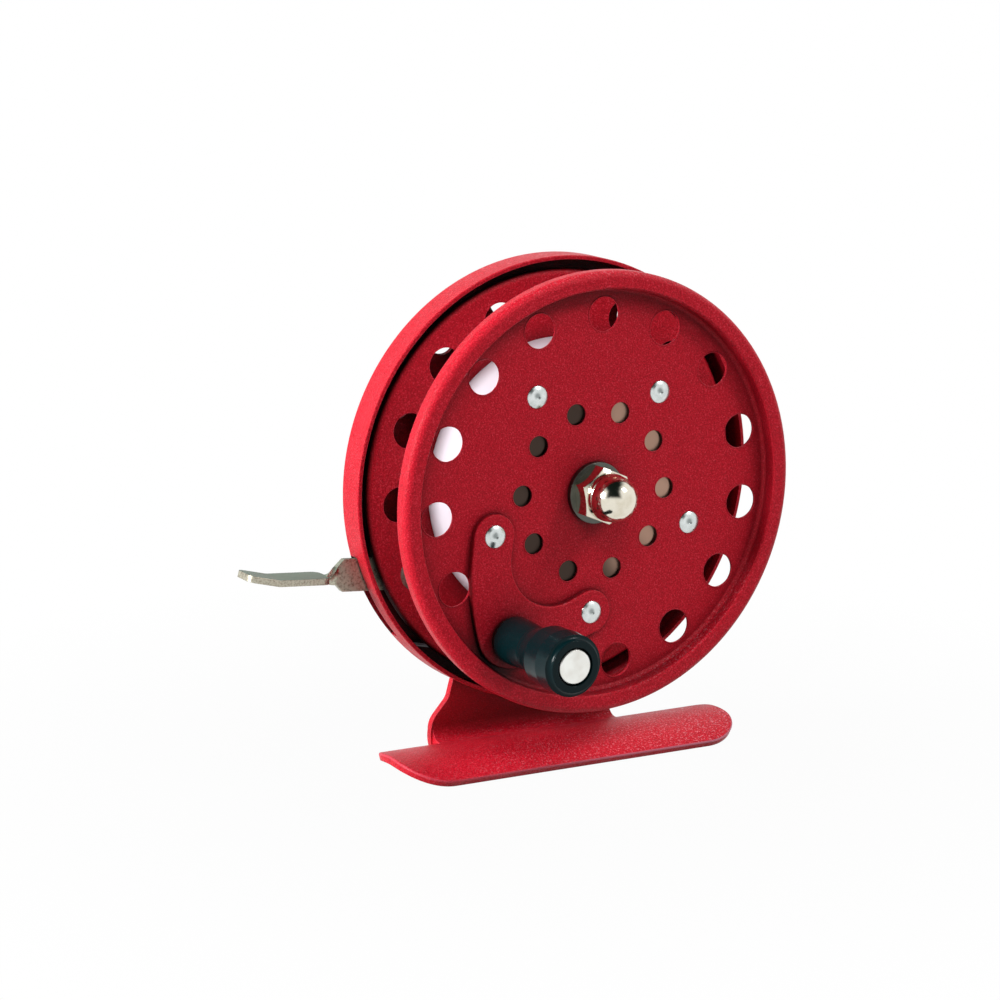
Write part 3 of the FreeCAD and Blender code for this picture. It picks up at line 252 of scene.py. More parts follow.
@dataclass(frozen=True)
class StoveEnamel:
    """Fine sand-textured stoving enamel on steel: grit with painted glints, pale flecks, thin
    edges and painted shade in the recesses.

    A span names the two values of a pattern or of a normal between which a tone comes in.
    """

    name: str = "stove_enamel"
    colour: str = "#D41A2E"
    deep: str = "#A80F20"
    worn: str = "#E8485E"
    glint_speck: str = "#E4576B"
    dust_glint: str = "#F0A6B0"
    arris_highlight: str = "#D98BA0"
    recess_shade: str = "#140305"

    grit_mm: float = 0.22
    grit_roughness: float = 0.6
    ground_span: Pair = (0.32, 0.62)
    glint_span: Pair = (0.58, 0.76)
    glint_most: float = 0.5

    dust_glint_mm: float = 0.28
    dust_glint_span: Pair = (0.56, 0.68)
    dust_glint_level_span: Pair = (0.25, 0.9)
    dust_glint_most: float = 0.6
    side_mm: Pair = (-22.0, 22.0)
    side_shares: Pair = (0.15, 0.75)

    edge_mm: float = 0.14
    edge_span: Pair = (0.97, 0.80)
    edge_most: float = 0.75

    arch_mm: float = 15.65
    arch_drop_mm: float = 12.3
    arris_mm: float = 0.32
    arris_fade_mm: Pair = (0.01, 0.06)
    crest_mm: float = 3.45

    recess_mm: float = 7.0
    recess_open: float = 0.31
    front_depth_mm: Pair = (0.6, 0.3)
    front_open: Pair = (0.80, 0.97)
    unshaded_mm: Pair = (5.5, 2.75)

    blotch_mm: float = 2.2
    blotch_span: Pair = (0.3, 0.7)
    roughness: float = 0.36
    duller: Pair = (-0.05, 0.08)
    sheen: float = 0.14
    relief_mm: float = 0.11

    def sprayed(self, tree: Tree, grit: Socket) -> Socket:
        """Colour of the fresh coat, with painted glints on its highest grains.

        Args:
            tree: The material's tree.
            grit: Pattern of the grains.

        Returns:
            The colour's socket.
        """
        ground = blended(tree, mapped(tree, grit, self.ground_span), self.deep, self.colour)
        # Painted glints: the highest grains turn pale pink
        grain = mapped(tree, grit, self.glint_span, (0.0, self.glint_most))
        return blended(tree, grain, ground, self.glint_speck)

    def dusted_and_glinting(self, tree: Tree, place: Socket, normal: Socket, lit_side_share: Socket,
               colour: Socket) -> Socket:
        """Add pale flecks on the faces that look up: partly settled dust, partly painted glints.

        Args:
            tree: The material's tree.
            place: Place on the object.
            normal: Normal of the face.
            lit_side_share: Share of the flecks at this place, which is larger away from the
                lever.
            colour: Colour so far.

        Returns:
            The colour's socket.
        """
        upward = mapped(tree, axes(tree, normal)["Z"], self.dust_glint_level_span,
                        (0.0, self.dust_glint_most))
        flakes = mapped(tree, noise(tree, place, self.dust_glint_mm, 1.0), self.dust_glint_span)
        shown = maths(tree, "MULTIPLY", upward, lit_side_share)
        return blended(tree, maths(tree, "MULTIPLY", flakes, shown), colour, self.dust_glint)

    def thinned(self, tree: Tree, normal: Socket, soft: Socket, colour: Socket) -> Socket:
        """Add the thin light lines where the paint draws back from sharp edges.

        Args:
            tree: The material's tree.
            normal: Normal of the face.
            soft: Normal with rounded edges.
            colour: Colour so far.

        Returns:
            The colour's socket.
        """
        along = vectors(tree, "DOT_PRODUCT", soft, normal)
        edge = mapped(tree, along, self.edge_span, (0.0, self.edge_most))
        return blended(tree, edge, colour, self.worn)

    def arris_highlighted(self, tree: Tree, place: Socket, lit_side_share: Socket, colour: Socket) -> Socket:
        """Add a painted highlight: the pale strip along the arched foot's rounded arris.

        Args:
            tree: The material's tree.
            place: Place on the object.
            lit_side_share: Share of the painted highlight at this place.
            colour: Colour so far.

        Returns:
            The colour's socket.
        """
        below = vectors(tree, "SUBTRACT", place, (0.0, 0.0, -self.arch_drop_mm * MM))
        reach = vectors(tree, "LENGTH", vectors(tree, "MULTIPLY", below, (0.0, 1.0, 1.0)))
        depth = maths(tree, "SUBTRACT", self.arch_mm * MM, reach)
        rim = mapped(tree, depth, metres(self.arris_fade_mm))
        inside = maths(tree, "LESS_THAN", depth, self.arris_mm * MM)
        foot = maths(tree, "LESS_THAN", axes(tree, place)["Z"], self.crest_mm * MM)
        strip = maths(tree, "MULTIPLY", maths(tree, "MULTIPLY", rim, inside), foot)
        # Painted highlight along the arris
        return blended(tree, maths(tree, "MULTIPLY", strip, lit_side_share), colour, self.arris_highlight)

    def shaded_in_recesses(self, tree: Tree, place: Socket, colour: Socket) -> Socket:
        """Paint shade into the deep recesses that ambient occlusion finds.

        The painted shade reaches further out of the corners on the front. The foot's low edges,
        which lie on the rod, get none.

        Args:
            tree: The material's tree.
            place: Place on the object.
            colour: Colour so far.

        Returns:
            The colour's socket.
        """
        spot = axes(tree, place)
        nook = add(tree, "ShaderNodeAmbientOcclusion", {"Distance": self.recess_mm * MM},
                   samples=8)
        behind = tuple(FACE + depth for depth in metres(self.front_depth_mm))
        front = mapped(tree, spot["Y"], behind, self.front_open)
        open_share = mapped(tree, nook.outputs["AO"], (self.recess_open, front))
        low = mapped(tree, spot["Z"], metres(self.unshaded_mm))
        unshaded = maths(tree, "MAXIMUM", open_share, low)
        # Painted shade in the recesses, none near the floor
        return blended(tree, unshaded, self.recess_shade, colour)

    def material(self) -> bpy.types.Material:
        """Build the enamel's material."""
        material, tree = blank_material(self.name)
        place = object_place(tree)
        normal = add(tree, "ShaderNodeNewGeometry").outputs["Normal"]
        soft = softened(tree, self.edge_mm)
        grit = noise(tree, place, self.grit_mm, 2.0, self.grit_roughness)
        # Painted light: the half away from the lever gets more of the pale flecks and of the
        # arris highlight
        lit_side_share = mapped(tree, axes(tree, place)["X"], metres(self.side_mm), self.side_shares)
        colour = self.sprayed(tree, grit)
        colour = self.dusted_and_glinting(tree, place, normal, lit_side_share, colour)
        colour = self.thinned(tree, normal, soft, colour)
        colour = self.arris_highlighted(tree, place, lit_side_share, colour)
        colour = self.shaded_in_recesses(tree, place, colour)
        relief = add(tree, "ShaderNodeBump", {
            "Height": grit, "Distance": self.relief_mm * MM, "Strength": 1.0, "Normal": soft})
        gloss = mapped(tree, noise(tree, place, self.blotch_mm, 3.0), self.blotch_span,
                       (self.roughness + self.duller[0], self.roughness + self.duller[1]))
        surfaced(tree, add(tree, "ShaderNodeBsdfPrincipled", {
            "Base Color": colour, "Roughness": gloss, "Specular IOR Level": self.sheen,
            "Normal": relief.outputs[0]}))
        return material


@dataclass(frozen=True)
class Moulded:
    """Injection-moulded plastic: an even skin with faint flow marks and a fine grain."""

    name: str
    colour: str
    shade: str
    roughness: float
    sheen: float = 0.5
    grain_mm: float = 0.25
    flow_mm: float = 6.0
    soft_mm: float = 0.12
    relief_mm: float = 0.006
    duller: Pair = (-0.05, 0.07)

    def material(self) -> bpy.types.Material:
        """Build the plastic's material."""
        material, tree = blank_material(self.name)
        place = object_place(tree)
        grain = noise(tree, place, self.grain_mm, 1.0)
        colour = blended(tree, noise(tree, place, self.flow_mm, 2.0), self.shade, self.colour)
        gloss = mapped(tree, grain, (0.0, 1.0),
                       (self.roughness + self.duller[0], self.roughness + self.duller[1]))
        relief = add(tree, "ShaderNodeBump", {
            "Height": grain, "Distance": self.relief_mm * MM, "Strength": 0.5,
            "Normal": softened(tree, self.soft_mm)})
        surfaced(tree, add(tree, "ShaderNodeBsdfPrincipled", {
            "Base Color": colour, "Roughness": gloss, "Specular IOR Level": self.sheen,
            "Normal": relief.outputs[0]}))
        return material


@dataclass(frozen=True)
class BareMetal:
    """Bare or plated metal: tool marks drawn out one way, with a little tarnish between."""

    name: str
    colour: str
    tarnish: str
    roughness: float
    cloud_mm: float = 2.5
    cloud_span: Pair = (0.45, 0.75)
    mark_mm: Triple = (0.12, 0.12, 0.12)
    relief_mm: float = 0.003
    soft_mm: float = 0.12
    smoother: float = 0.75
    rougher: float = 1.3
    round_marks: float = 0.0
    top_tarnish_and_shade: str | None = None
    top_span: Pair = (0.5, 0.9)
    bare_sheen: float = 0.5
    tarnished_sheen: float = 0.06

    def material(self) -> bpy.types.Material:
        """Build the metal's material."""
        material, tree = blank_material(self.name)
        place = object_place(tree)
        spread = add(tree, "ShaderNodeMapping", {
            "Vector": place, "Scale": [per_metre(size) for size in self.mark_mm]})
        marks = add(tree, "ShaderNodeTexNoise", {
            "Vector": spread.outputs[0], "Scale": 1.0, "Detail": 3.0}).outputs[0]
        dull = mapped(tree, noise(tree, place, self.cloud_mm, 2.0), self.cloud_span)
        colour = blended(tree, dull, self.colour, self.tarnish)
        bare, sheen = 1.0, self.bare_sheen
        if self.top_tarnish_and_shade:
            # Level faces carry tarnish and painted shade, and the sheared edges stay bright as a
            # painted reflection
            normal = add(tree, "ShaderNodeNewGeometry").outputs["Normal"]
            level = mapped(tree, axes(tree, normal)["Z"], self.top_span)
            colour = blended(tree, level, colour, self.top_tarnish_and_shade)
            bare = mapped(tree, level, (0.0, 1.0), (1.0, 0.0))
            sheen = self.tarnished_sheen
        gloss = mapped(tree, marks, (0.0, 1.0),
                       (self.roughness * self.smoother, self.roughness * self.rougher))
        relief = add(tree, "ShaderNodeBump", {
            "Height": marks, "Distance": self.relief_mm * MM, "Strength": 0.5,
            "Normal": softened(tree, self.soft_mm)})
        # Marks of the lathe run round the piece's own Y axis and draw its highlights out
        turning = add(tree, "ShaderNodeTangent", direction_type="RADIAL", axis="Y")
        surfaced(tree, add(tree, "ShaderNodeBsdfPrincipled", {
            "Base Color": colour, "Metallic": bare, "Roughness": gloss,
            "Normal": relief.outputs[0], "Anisotropic": self.round_marks,
            "Specular IOR Level": sheen, "Tangent": turning.outputs[0]}))
        return material


@dataclass(frozen=True)
class UpsetHead:
    """Aluminium rivet heads, each with the shallow dimple that the setting tool left and a
    painted dark reflection in it.
    """

    name: str = "upset_aluminium"
    colour: str = "#E6EBEA"
    worn: str = "#BFC6C4"
    dimple_dark_reflection: str = "#4A5553"
    roughness: float = 0.24
    circle_mm: float = 17.65
    phase: float = 123.6
    pitch: float = 72.0
    off_mm: Pair = (-0.25, 0.25)
    bowl_mm: Pair = (0.1, 0.9)
    dark_reflection_mm: Pair = (0.15, 0.675)
    dark_reflection_most: float = 0.65
    mark_mm: float = 0.9
    mark_share: float = 0.05
    soft_mm: float = 0.15
    relief_mm: float = 0.26

    def from_dimple(self, tree: Tree, place: Socket) -> Socket:
        """Distance to the middle of the nearest dimple.

        Every head is turned onto the first one, so that one dimple serves all five.

        Args:
            tree: The material's tree.
            place: Place on the object.

        Returns:
            The distance's socket, in metres.
        """
        spot = axes(tree, place)
        up = maths(tree, "SUBTRACT", spot["Z"], AXIS_HEIGHT + self.off_mm[1] * MM)
        across = maths(tree, "SUBTRACT", spot["X"], self.off_mm[0] * MM)
        turn = maths(tree, "ARCTAN2", up, across)
        half = math.radians(self.pitch / 2)
        shifted = maths(tree, "SUBTRACT", turn, math.radians(self.phase) - half)
        folded = maths(tree, "WRAP", shifted, 2 * half, 0.0)
        aside = maths(tree, "SUBTRACT", folded, half)
        flat = add(tree, "ShaderNodeCombineXYZ", {"X": across, "Y": up})
        reach = vectors(tree, "LENGTH", flat.outputs[0])
        gap = add(tree, "ShaderNodeCombineXYZ", {
            "X": maths(tree, "SUBTRACT", reach, self.circle_mm * MM),
            "Y": maths(tree, "MULTIPLY", reach, aside)})
        return vectors(tree, "LENGTH", gap.outputs[0])

    def material(self) -> bpy.types.Material:
        """Build the heads' material."""
        material, tree = blank_material(self.name)
        place = object_place(tree)
        gap = self.from_dimple(tree, place)
        bowl = mapped(tree, gap, metres(self.bowl_mm), smooth=True)
        marks = noise(tree, place, self.mark_mm, 1.0)
        height = maths(tree, "MULTIPLY_ADD", marks, self.mark_share, bowl)
        # Painted dark reflection in each dimple
        dark_reflection = mapped(tree, gap, metres(self.dark_reflection_mm), (self.dark_reflection_most, 0.0), smooth=True)
        colour = blended(tree, dark_reflection, blended(tree, marks, self.worn, self.colour), self.dimple_dark_reflection)
        relief = add(tree, "ShaderNodeBump", {
            "Height": height, "Distance": self.relief_mm * MM, "Strength": 1.0,
            "Normal": softened(tree, self.soft_mm)})
        surfaced(tree, add(tree, "ShaderNodeBsdfPrincipled", {
            "Base Color": colour, "Metallic": 1.0, "Roughness": self.roughness,
            "Normal": relief.outputs[0]}))
        return material


@dataclass(frozen=True)
class TurnedDisc:
    """Turned aluminium disc with round tool marks, with a painted reflection that is darker on
    the crank's side.
    """

    name: str = "turned_disc_painted_light"
    bright: str = "#A18170"
    shaded_side: str = "#40352F"
    groove_mm: float = 0.35
    groove_relief_mm: float = 0.01
    groove_strength: float = 0.6
    roughness: float = 0.30
    round_marks: float = 0.8
    shaded_side_mm: Pair = (-1.0, 9.0)
    lean: float = 0.1
    cloud_mm: float = 7.0
    cloud_span: Pair = (0.3, 0.7)
    drift_mm: Pair = (-4.0, 4.0)

    def material(self) -> bpy.types.Material:
        """Build the disc's material."""
        material, tree = blank_material(self.name)
        place = object_place(tree)
        middle = vectors(tree, "SUBTRACT", place, (0.0, 0.0, AXIS_HEIGHT))
        spot = axes(tree, middle)
        # Painted reflection: the disc is lighter on one side and darker on the crank's side, with
        # a cloudy border
        drift = mapped(tree, noise(tree, place, self.cloud_mm, 1.0), self.cloud_span,
                       metres(self.drift_mm))
        lean = maths(tree, "MULTIPLY_ADD", spot["Z"], self.lean, spot["X"])
        share = mapped(tree, maths(tree, "ADD", lean, drift), metres(self.shaded_side_mm),
                       smooth=True)
        radius = vectors(tree, "LENGTH", vectors(tree, "MULTIPLY", middle, (1.0, 0.0, 1.0)))
        grooves = add(tree, "ShaderNodeTexNoise", {
            "W": radius, "Scale": per_metre(self.groove_mm), "Detail": 2.0},
            noise_dimensions="1D")
        relief = add(tree, "ShaderNodeBump", {
            "Height": grooves.outputs[0], "Distance": self.groove_relief_mm * MM,
            "Strength": self.groove_strength})
        turning = add(tree, "ShaderNodeTangent", direction_type="RADIAL", axis="Y")
        surfaced(tree, add(tree, "ShaderNodeBsdfPrincipled", {
            "Base Color": blended(tree, share, self.shaded_side, self.bright), "Metallic": 1.0,
            "Roughness": self.roughness, "Normal": relief.outputs[0],
            "Anisotropic": self.round_marks, "Tangent": turning.outputs[0]}))
        return material


class Finish(Enum):
    """Finishes of the reel, under the record's slot names."""

    RED = ("red_paint", StoveEnamel())
    # Satin ABS, moulded pale and slightly cool
    DRUM = ("white_plastic", Moulded("moulded_abs", "#DDD9E1", "#D0CAD4", 0.45))
    # Glass-filled nylon, matt from the mould
    WHEEL = ("black_nylon", Moulded("filled_nylon", "#1B1C1D", "#121314", 0.6))
    # Phenolic knob, dark with a cool sheen
    KNOB = ("black_plastic", Moulded("phenolic_knob", "#051E21", "#04171A", 0.20, sheen=0.12))
    RIVET = ("bare_aluminium", UpsetHead())
    DISC = ("spun_aluminium", TurnedDisc())
    PIN = ("turned_steel", BareMetal(
        "faced_steel", "#F0F1EC", "#E0DED7", 0.30, round_marks=0.4))
    ZINC = ("zinc_plate", BareMetal("zinc_plated_steel", "#5E615C", "#454845", 0.36))
    NUT = ("bright_nickel", BareMetal("polished_nickel", "#E6E0D0", "#D2C9B4", 0.12, soft_mm=0.2))
    # Strip is rolled along X
    LEVER = ("nickel_strip", BareMetal(
        "tarnished_nickel", "#BEBAA8", "#85796B", 0.40, cloud_mm=0.3,
        mark_mm=(2.0, 0.1, 0.1), relief_mm=0.02, top_tarnish_and_shade="#6C7A6C"))
    SPRING = ("spring_steel", BareMetal("spring_wire", "#8E8F92", "#6A6B6E", 0.3))
    BRASS = ("brass", BareMetal("turned_brass", "#D8B25A", "#A8843A", 0.25))

    @property
    def slot(self) -> str:
        """The record's material slot."""
        return self.value[0]

    def material(self) -> bpy.types.Material:
        """The finish's material, made once."""
        if self not in MADE:
            MADE[self] = self.value[1].material()
        return MADE[self]


# Materials made so far
MADE: dict[Finish, bpy.types.Material] = {}


def placed(name: str, data: bpy.types.ID) -> bpy.types.Object:
    """Put an object into the scene.

    Args:
        name: Name of the object.
        data: Its mesh, curve, lamp or camera.

    Returns:
        The object, at the origin.
    """
    made = bpy.data.objects.new(name, data)
    bpy.context.collection.objects.link(made)
    return made


def baked(source: bpy.types.Object, name: str) -> bpy.types.Object:
    """Plain mesh object of what a curve or a modifier shows, without its source.

    Args:
        source: Object whose evaluated shape is wanted.
        name: Name of the new object.

    Returns:
        The mesh object, at the origin.
    """
    graph = bpy.context.evaluated_depsgraph_get()
    mesh = bpy.data.meshes.new_from_object(source.evaluated_get(graph))
    mesh.name = name
    data = source.data
    bpy.data.objects.remove(source)
    if data.users == 0 and isinstance(data, bpy.types.Mesh):
        bpy.data.meshes.remove(data)
    return placed(name, mesh)


@dataclass
class CarriedNodes:
    """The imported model's own pieces, each with the finish of its record slot."""

    def dress(self) -> None:
        """Give every node its material."""
        finishes = {finish.slot: finish for finish in Finish}
        for entry in frame["record"]["subparts"]:
            node, finish = frame["nodes"][entry["node"]], finishes[entry["material_slot"]]
            for slot in node.material_slots:
                slot.material = finish.material()
            LOG.info("%s dressed in %s", entry["node"], finish.value[1].name)


@dataclass(frozen=True)
class HoleRing:
    """One ring of punched holes and the face that its beads lie on, in millimetres.

    The depth is that of the face behind the front flange's face. The beads are sunk into
    their sheet, which lies behind the front flange's face and in front of the pan's back.
    """

    name: str
    body: Body
    count: int
    pitch: float
    phase: float
    ring_radius: float
    hole_radius: float
    depth: float
    sunk: float


@dataclass
class HoleBeads:
    """The enamel's bead round each punched hole, where paint gathers on the burr."""

    bead_radius: float = 0.10
    rim_steps: int = 40
    bead_steps: int = 8
    rings: tuple[HoleRing, ...] = (
        HoleRing("front_outer_beads", Body.SPOOL, 15, 24.0, 87.4, 25.95, 2.6, 0.0, 0.04),
        HoleRing("front_inner_beads", Body.SPOOL, 10, 36.0, 105.6, 12.05, 1.63, 0.0, 0.04),
        HoleRing("pan_vent_beads", Body.FRAME, 12, 24.0, 56.7, 27.3, 2.2, 15.6, -0.04),
    )

    def tree(self) -> tuple[Tree, dict[str, str]]:
        """Tree that sets a ring of beads.

        Returns:
            The tree, and the identifier of each named input.
        """
        tree = bpy.data.node_groups.new("hole_beads", "GeometryNodeTree")
        face = tree.interface
        face.new_socket("Geometry", in_out="INPUT", socket_type="NodeSocketGeometry")
        keys = {}
        for name, kind in (("Count", "Int"), ("Ring Radius", "Float"), ("Start", "Float"),
                           ("Sweep", "Float"), ("Hole Radius", "Float"),
                           ("Bead Radius", "Float"), ("Centre", "Vector"),
                           ("Material", "Material")):
            socket = face.new_socket(name, in_out="INPUT", socket_type=f"NodeSocket{kind}")
            keys[name] = socket.identifier
        face.new_socket("Geometry", in_out="OUTPUT", socket_type="NodeSocketGeometry")
        given = add(tree, "NodeGroupInput").outputs
        arc = add(tree, "GeometryNodeCurveArc", {
            "Resolution": given["Count"], "Radius": given["Ring Radius"],
            "Start Angle": given["Start"], "Sweep Angle": given["Sweep"]})
        rim = add(tree, "GeometryNodeCurvePrimitiveCircle", {
            "Resolution": self.rim_steps, "Radius": given["Hole Radius"]})
        profile = add(tree, "GeometryNodeCurvePrimitiveCircle", {
            "Resolution": self.bead_steps, "Radius": given["Bead Radius"]})
        bead = add(tree, "GeometryNodeCurveToMesh", {
            "Curve": rim.outputs[0], "Profile Curve": profile.outputs[0]})
        beads = add(tree, "GeometryNodeInstanceOnPoints", {
            "Points": arc.outputs[0], "Instance": bead.outputs[0]})
        solid = add(tree, "GeometryNodeRealizeInstances", {0: beads.outputs[0]})
        upright = add(tree, "GeometryNodeTransform", {
            "Geometry": solid.outputs[0], "Translation": given["Centre"],
            "Rotation": (math.pi / 2, 0, 0)})
        smooth = add(tree, "GeometryNodeSetShadeSmooth", {0: upright.outputs[0]})
        dressed = add(tree, "GeometryNodeSetMaterial", {
            "Geometry": smooth.outputs[0], "Material": given["Material"]})
        add(tree, "NodeGroupOutput", {0: dressed.outputs[0]})
        return tree, keys

    def build(self) -> None:
        """Build the beads of every ring."""
        tree, keys = self.tree()
        for ring in self.rings:
            carrier = placed(ring.name, bpy.data.meshes.new(ring.name))
            modifier = carrier.modifiers.new("beads", "NODES")
            modifier.node_group = tree
            inputs = {
                "Count": ring.count, "Ring Radius": ring.ring_radius * MM,
                "Start": math.radians(ring.phase),
                "Sweep": math.radians(ring.pitch * (ring.count - 1)),
                "Hole Radius": ring.hole_radius * MM, "Bead Radius": self.bead_radius * MM,
                "Centre": (0.0, FACE + ring.depth * MM + ring.sunk * MM, AXIS_HEIGHT),
                "Material": Finish.RED.material()}
            for name, given in inputs.items():
                modifier[keys[name]] = given
            piece = baked(carrier, ring.name)
            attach(piece, ring.body.value)
            LOG.info("%s: %d beads", ring.name, ring.count)


@dataclass
class ReturnSpring:
    """Wire hairpin round its post, in millimetres.

    Each leg has its direction in degrees and its length. The loop runs on from the upper
    leg to the lower one, past the post's far side.
    """

    wire: float = 0.6
    wire_steps: int = 3
    loop: float = 1.55
    post: Pair = (-10.5, -24.0)
    depth: float = 13.8
    upper: Pair = (143.0, 12.6)
    lower: Pair = (169.0, 11.6)
    leg_steps: int = 14
    loop_steps: int = 16

    def spot(self, across: float, up: float) -> Vector:
        """Point of the frame from millimetres across and up from the post."""
        return Vector(((self.post[0] + across) * MM, FACE + self.depth * MM,
                       AXIS_HEIGHT + (self.post[1] + up) * MM))

    def on_loop(self, angle: float) -> Pair:
        """Place on the loop at this angle, from the post."""
        turned = math.radians(angle)
        return self.loop * math.cos(turned), self.loop * math.sin(turned)

    def route(self) -> list[Vector]:
        """Middle line of the wire, from the upper leg's tip to the lower leg's."""
        first, last = self.upper[0] - 90, self.lower[0] + 90 - 360

        def leg(start: Pair, angle: float, reach: float) -> Vector:
            """Point of a leg at this reach from its start."""
            turned = math.radians(angle)
            return self.spot(start[0] + reach * math.cos(turned),
                             start[1] + reach * math.sin(turned))

        steps = range(self.leg_steps)
        way = [leg(self.on_loop(first), self.upper[0], self.upper[1] * (1 - i / self.leg_steps))
               for i in steps]
        way += [self.spot(*self.on_loop(first + (last - first) * i / self.loop_steps))
                for i in range(self.loop_steps + 1)]
        way += [leg(self.on_loop(last), self.lower[0],
                    self.lower[1] * (i + 1) / self.leg_steps) for i in steps]
        return way

    def build(self) -> None:
        """Build the spring in place of the rigid node."""
        curve = bpy.data.curves.new("return_wire", "CURVE")
        curve.dimensions = "3D"
        curve.bevel_depth = self.wire / 2 * MM
        curve.bevel_resolution = self.wire_steps
        curve.use_fill_caps = True
        spline = curve.splines.new("POLY")
        way = self.route()
        spline.points.add(len(way) - 1)
        for point, spot in zip(spline.points, way):
            point.co = (*spot, 1.0)
        piece = baked(placed("return_wire_route", curve), "return_wire")
        piece.data.materials.clear()
        piece.data.materials.append(Finish.SPRING.material())
        piece.data.shade_smooth()
        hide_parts("return_spring")
        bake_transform(piece)
        LOG.info("return_wire: %d points", len(way))


@dataclass(frozen=True)
class SoftBox:
    """Lamp that faces the reel's middle, with its place and size in metres."""

    name: str
    place: Triple
    size: Pair
    watts: float
    mirrored: bool = True

    def build(self) -> None:
        """Stand the lamp up. Glossy surfaces show it only where it is mirrored."""
        data = bpy.data.lights.new(self.name, "AREA")
        data.shape = "RECTANGLE"
        data.size, data.size_y = self.size
        data.energy = self.watts
        lamp = placed(self.name, data)
        lamp.visible_glossy = self.mirrored
        way = Vector((0, 0, AXIS_HEIGHT)) - Vector(self.place)
        lamp.matrix_world = (Matrix.Translation(self.place)
                             @ way.to_track_quat("-Z", "Y").to_matrix().to_4x4())


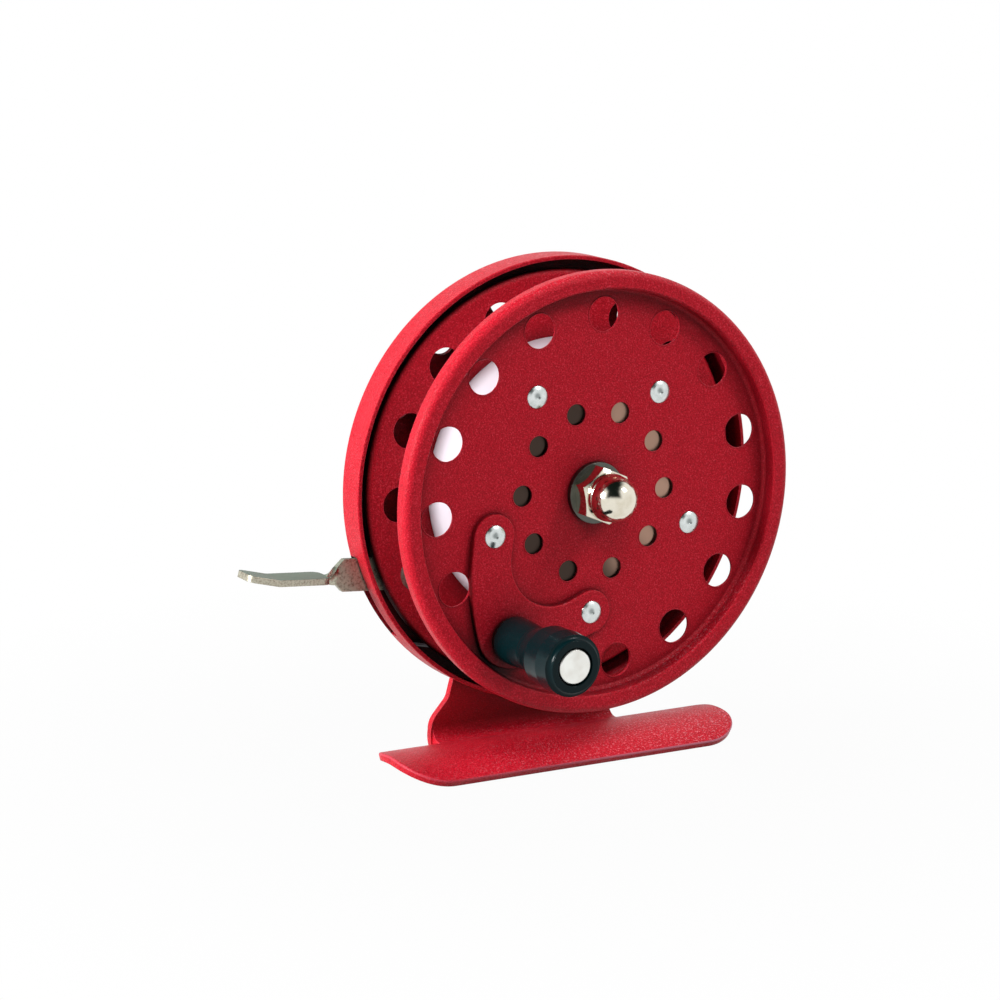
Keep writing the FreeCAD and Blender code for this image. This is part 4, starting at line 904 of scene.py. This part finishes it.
@dataclass
class Studio:
    """Pale floor, white surround, soft lamps and the camera, in metres and degrees."""

    camera_at: Triple = (-0.23925, -0.39416, 0.13622)
    azimuth: float = -30.111
    elevation: float = 11.963
    roll: float = 0.641
    lens_mm: float = 115.2
    sensor_mm: float = 36.0
    near: float = 0.01

    ambient: float = 0.15
    floor_size: float = 3.0
    floor_grey: float = 0.32
    floor_glow: float = 0.965
    shadow_reach: float = 0.12

    hood_shade: str = "#141C1A"
    hood_middle: float = -0.1
    hood_fade_out: Pair = (0.45, 1.0)
    hood_fade_down: Pair = (0.50, 0.16)
    hood_corners: tuple[Triple, ...] = (
        (-1.1, -1.0, 0.16), (0.9, -1.0, 0.16), (0.9, -0.9, 1.1), (-1.1, -0.9, 1.1),
        (0.8, 0.7, 1.1), (-0.9, 0.7, 1.1))
    hood_panels: tuple[tuple[int, ...], ...] = ((0, 1, 2, 3), (3, 2, 4, 5))

    lamps: tuple[SoftBox, ...] = (
        SoftBox("side", (-0.85, 0.04, 0.36), (0.28, 0.28), 12.0),
        SoftBox("box", (-0.32, -0.60, 0.70), (0.40, 0.30), 2.4, mirrored=False),
        SoftBox("face", (0.48, -0.55, 0.72), (0.24, 0.24), 3.1),
        SoftBox("end", (0.66, 0.22, 0.66), (0.30, 0.30), 2.4, mirrored=False),
    )

    def camera(self) -> None:
        """Stand the camera at the photograph's viewpoint."""
        az, el, roll = (math.radians(a) for a in (self.azimuth, self.elevation, self.roll))
        back = Vector((math.sin(az) * math.cos(el), -math.cos(az) * math.cos(el), math.sin(el)))
        right = Vector((0, 0, 1)).cross(back).normalized()
        upward = back.cross(right)
        turned_right = right * math.cos(roll) + upward * math.sin(roll)
        turned_up = upward * math.cos(roll) - right * math.sin(roll)
        data = bpy.data.cameras.new("camera")
        data.lens = self.lens_mm
        data.sensor_width = self.sensor_mm
        data.clip_start = self.near
        camera = placed("camera", data)
        turn = Matrix((turned_right, turned_up, back)).transposed().to_4x4()
        camera.matrix_world = Matrix.Translation(self.camera_at) @ turn
        bpy.context.scene.camera = camera

    def seen(self, tree: Tree) -> Socket:
        """Socket that is 1 for camera, glossy and transmission rays.

        Args:
            tree: Tree of the world or of the floor.

        Returns:
            The factor's output socket.
        """
        path = add(tree, "ShaderNodeLightPath").outputs
        direct = maths(tree, "MAXIMUM", path["Is Camera Ray"], path["Is Glossy Ray"])
        return maths(tree, "MAXIMUM", direct, path["Is Transmission Ray"])

    def surround(self) -> None:
        """White world that lights the object at a lower level than it shows."""
        world = bpy.data.worlds.new("surround")
        world.use_nodes = True
        tree = world.node_tree
        tree.nodes.clear()
        shown = add(tree, "ShaderNodeBackground", {"Color": WHITE, "Strength": 1.0})
        light = add(tree, "ShaderNodeBackground", {"Color": WHITE, "Strength": self.ambient})
        both = add(tree, "ShaderNodeMixShader", {
            0: self.seen(tree), 1: light.outputs[0], 2: shown.outputs[0]})
        add(tree, "ShaderNodeOutputWorld", {"Surface": both.outputs[0]})
        bpy.context.scene.world = world

    def floor(self) -> None:
        """Pale floor under the foot, which keeps a faint shadow."""
        half = self.floor_size / 2
        mesh = bpy.data.meshes.new("floor")
        mesh.from_pydata([(-half, -half, 0), (half, -half, 0), (half, half, 0),
                          (-half, half, 0)], [], [(0, 1, 2, 3)])
        floor = placed("floor", mesh)
        material, tree = blank_material("pale_floor")
        matt = add(tree, "ShaderNodeBsdfDiffuse", {"Color": (*3 * [self.floor_grey], 1)})
        white = add(tree, "ShaderNodeEmission", {"Color": WHITE, "Strength": 1.0})
        # The floor fades to plain white away from the foot, so no horizon shows
        apart = vectors(tree, "LENGTH", object_place(tree))
        glow = mapped(tree, apart, (self.shadow_reach / 3, self.shadow_reach),
                      (self.floor_glow, 1.0))
        surfaced(tree, add(tree, "ShaderNodeMixShader", {
            0: maths(tree, "MULTIPLY", self.seen(tree), glow),
            1: matt.outputs[0], 2: white.outputs[0]}))
        mesh.materials.append(material)

    def hood(self) -> None:
        """Dark hood over the studio, which only bright surfaces show."""
        material, tree = blank_material("dark_card")
        spot = axes(tree, object_place(tree))
        middle = maths(tree, "ADD", spot["X"], -self.hood_middle)
        ends = mapped(tree, maths(tree, "ABSOLUTE", middle), self.hood_fade_out, smooth=True)
        foot = mapped(tree, spot["Z"], self.hood_fade_down, smooth=True)
        shade = add(tree, "ShaderNodeMix", {
            "Factor": maths(tree, "MAXIMUM", ends, foot), 6: linear(self.hood_shade),
            7: WHITE}, data_type="RGBA")
        surfaced(tree, add(tree, "ShaderNodeEmission", {
            "Color": shade.outputs[2], "Strength": 1.0}))
        mesh = bpy.data.meshes.new("dark_hood")
        mesh.from_pydata(self.hood_corners, [], self.hood_panels)
        mesh.materials.append(material)
        hood = placed("dark_hood", mesh)
        hood.matrix_world = Matrix.Rotation(math.radians(self.azimuth), 4, "Z")
        hood.visible_camera = False
        hood.visible_diffuse = False
        hood.visible_shadow = False

    def build(self) -> None:
        """Set up the whole studio."""
        self.camera()
        self.surround()
        self.floor()
        self.hood()
        for lamp in self.lamps:
            lamp.build()
        bpy.context.scene.view_settings.view_transform = "Standard"


def main() -> None:
    """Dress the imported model."""
    logging.basicConfig(level=logging.INFO, format="%(message)s")
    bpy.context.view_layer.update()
    CarriedNodes().dress()
    HoleBeads().build()
    ReturnSpring().build()
    Studio().build()


if __name__ == "__main__":
    main()
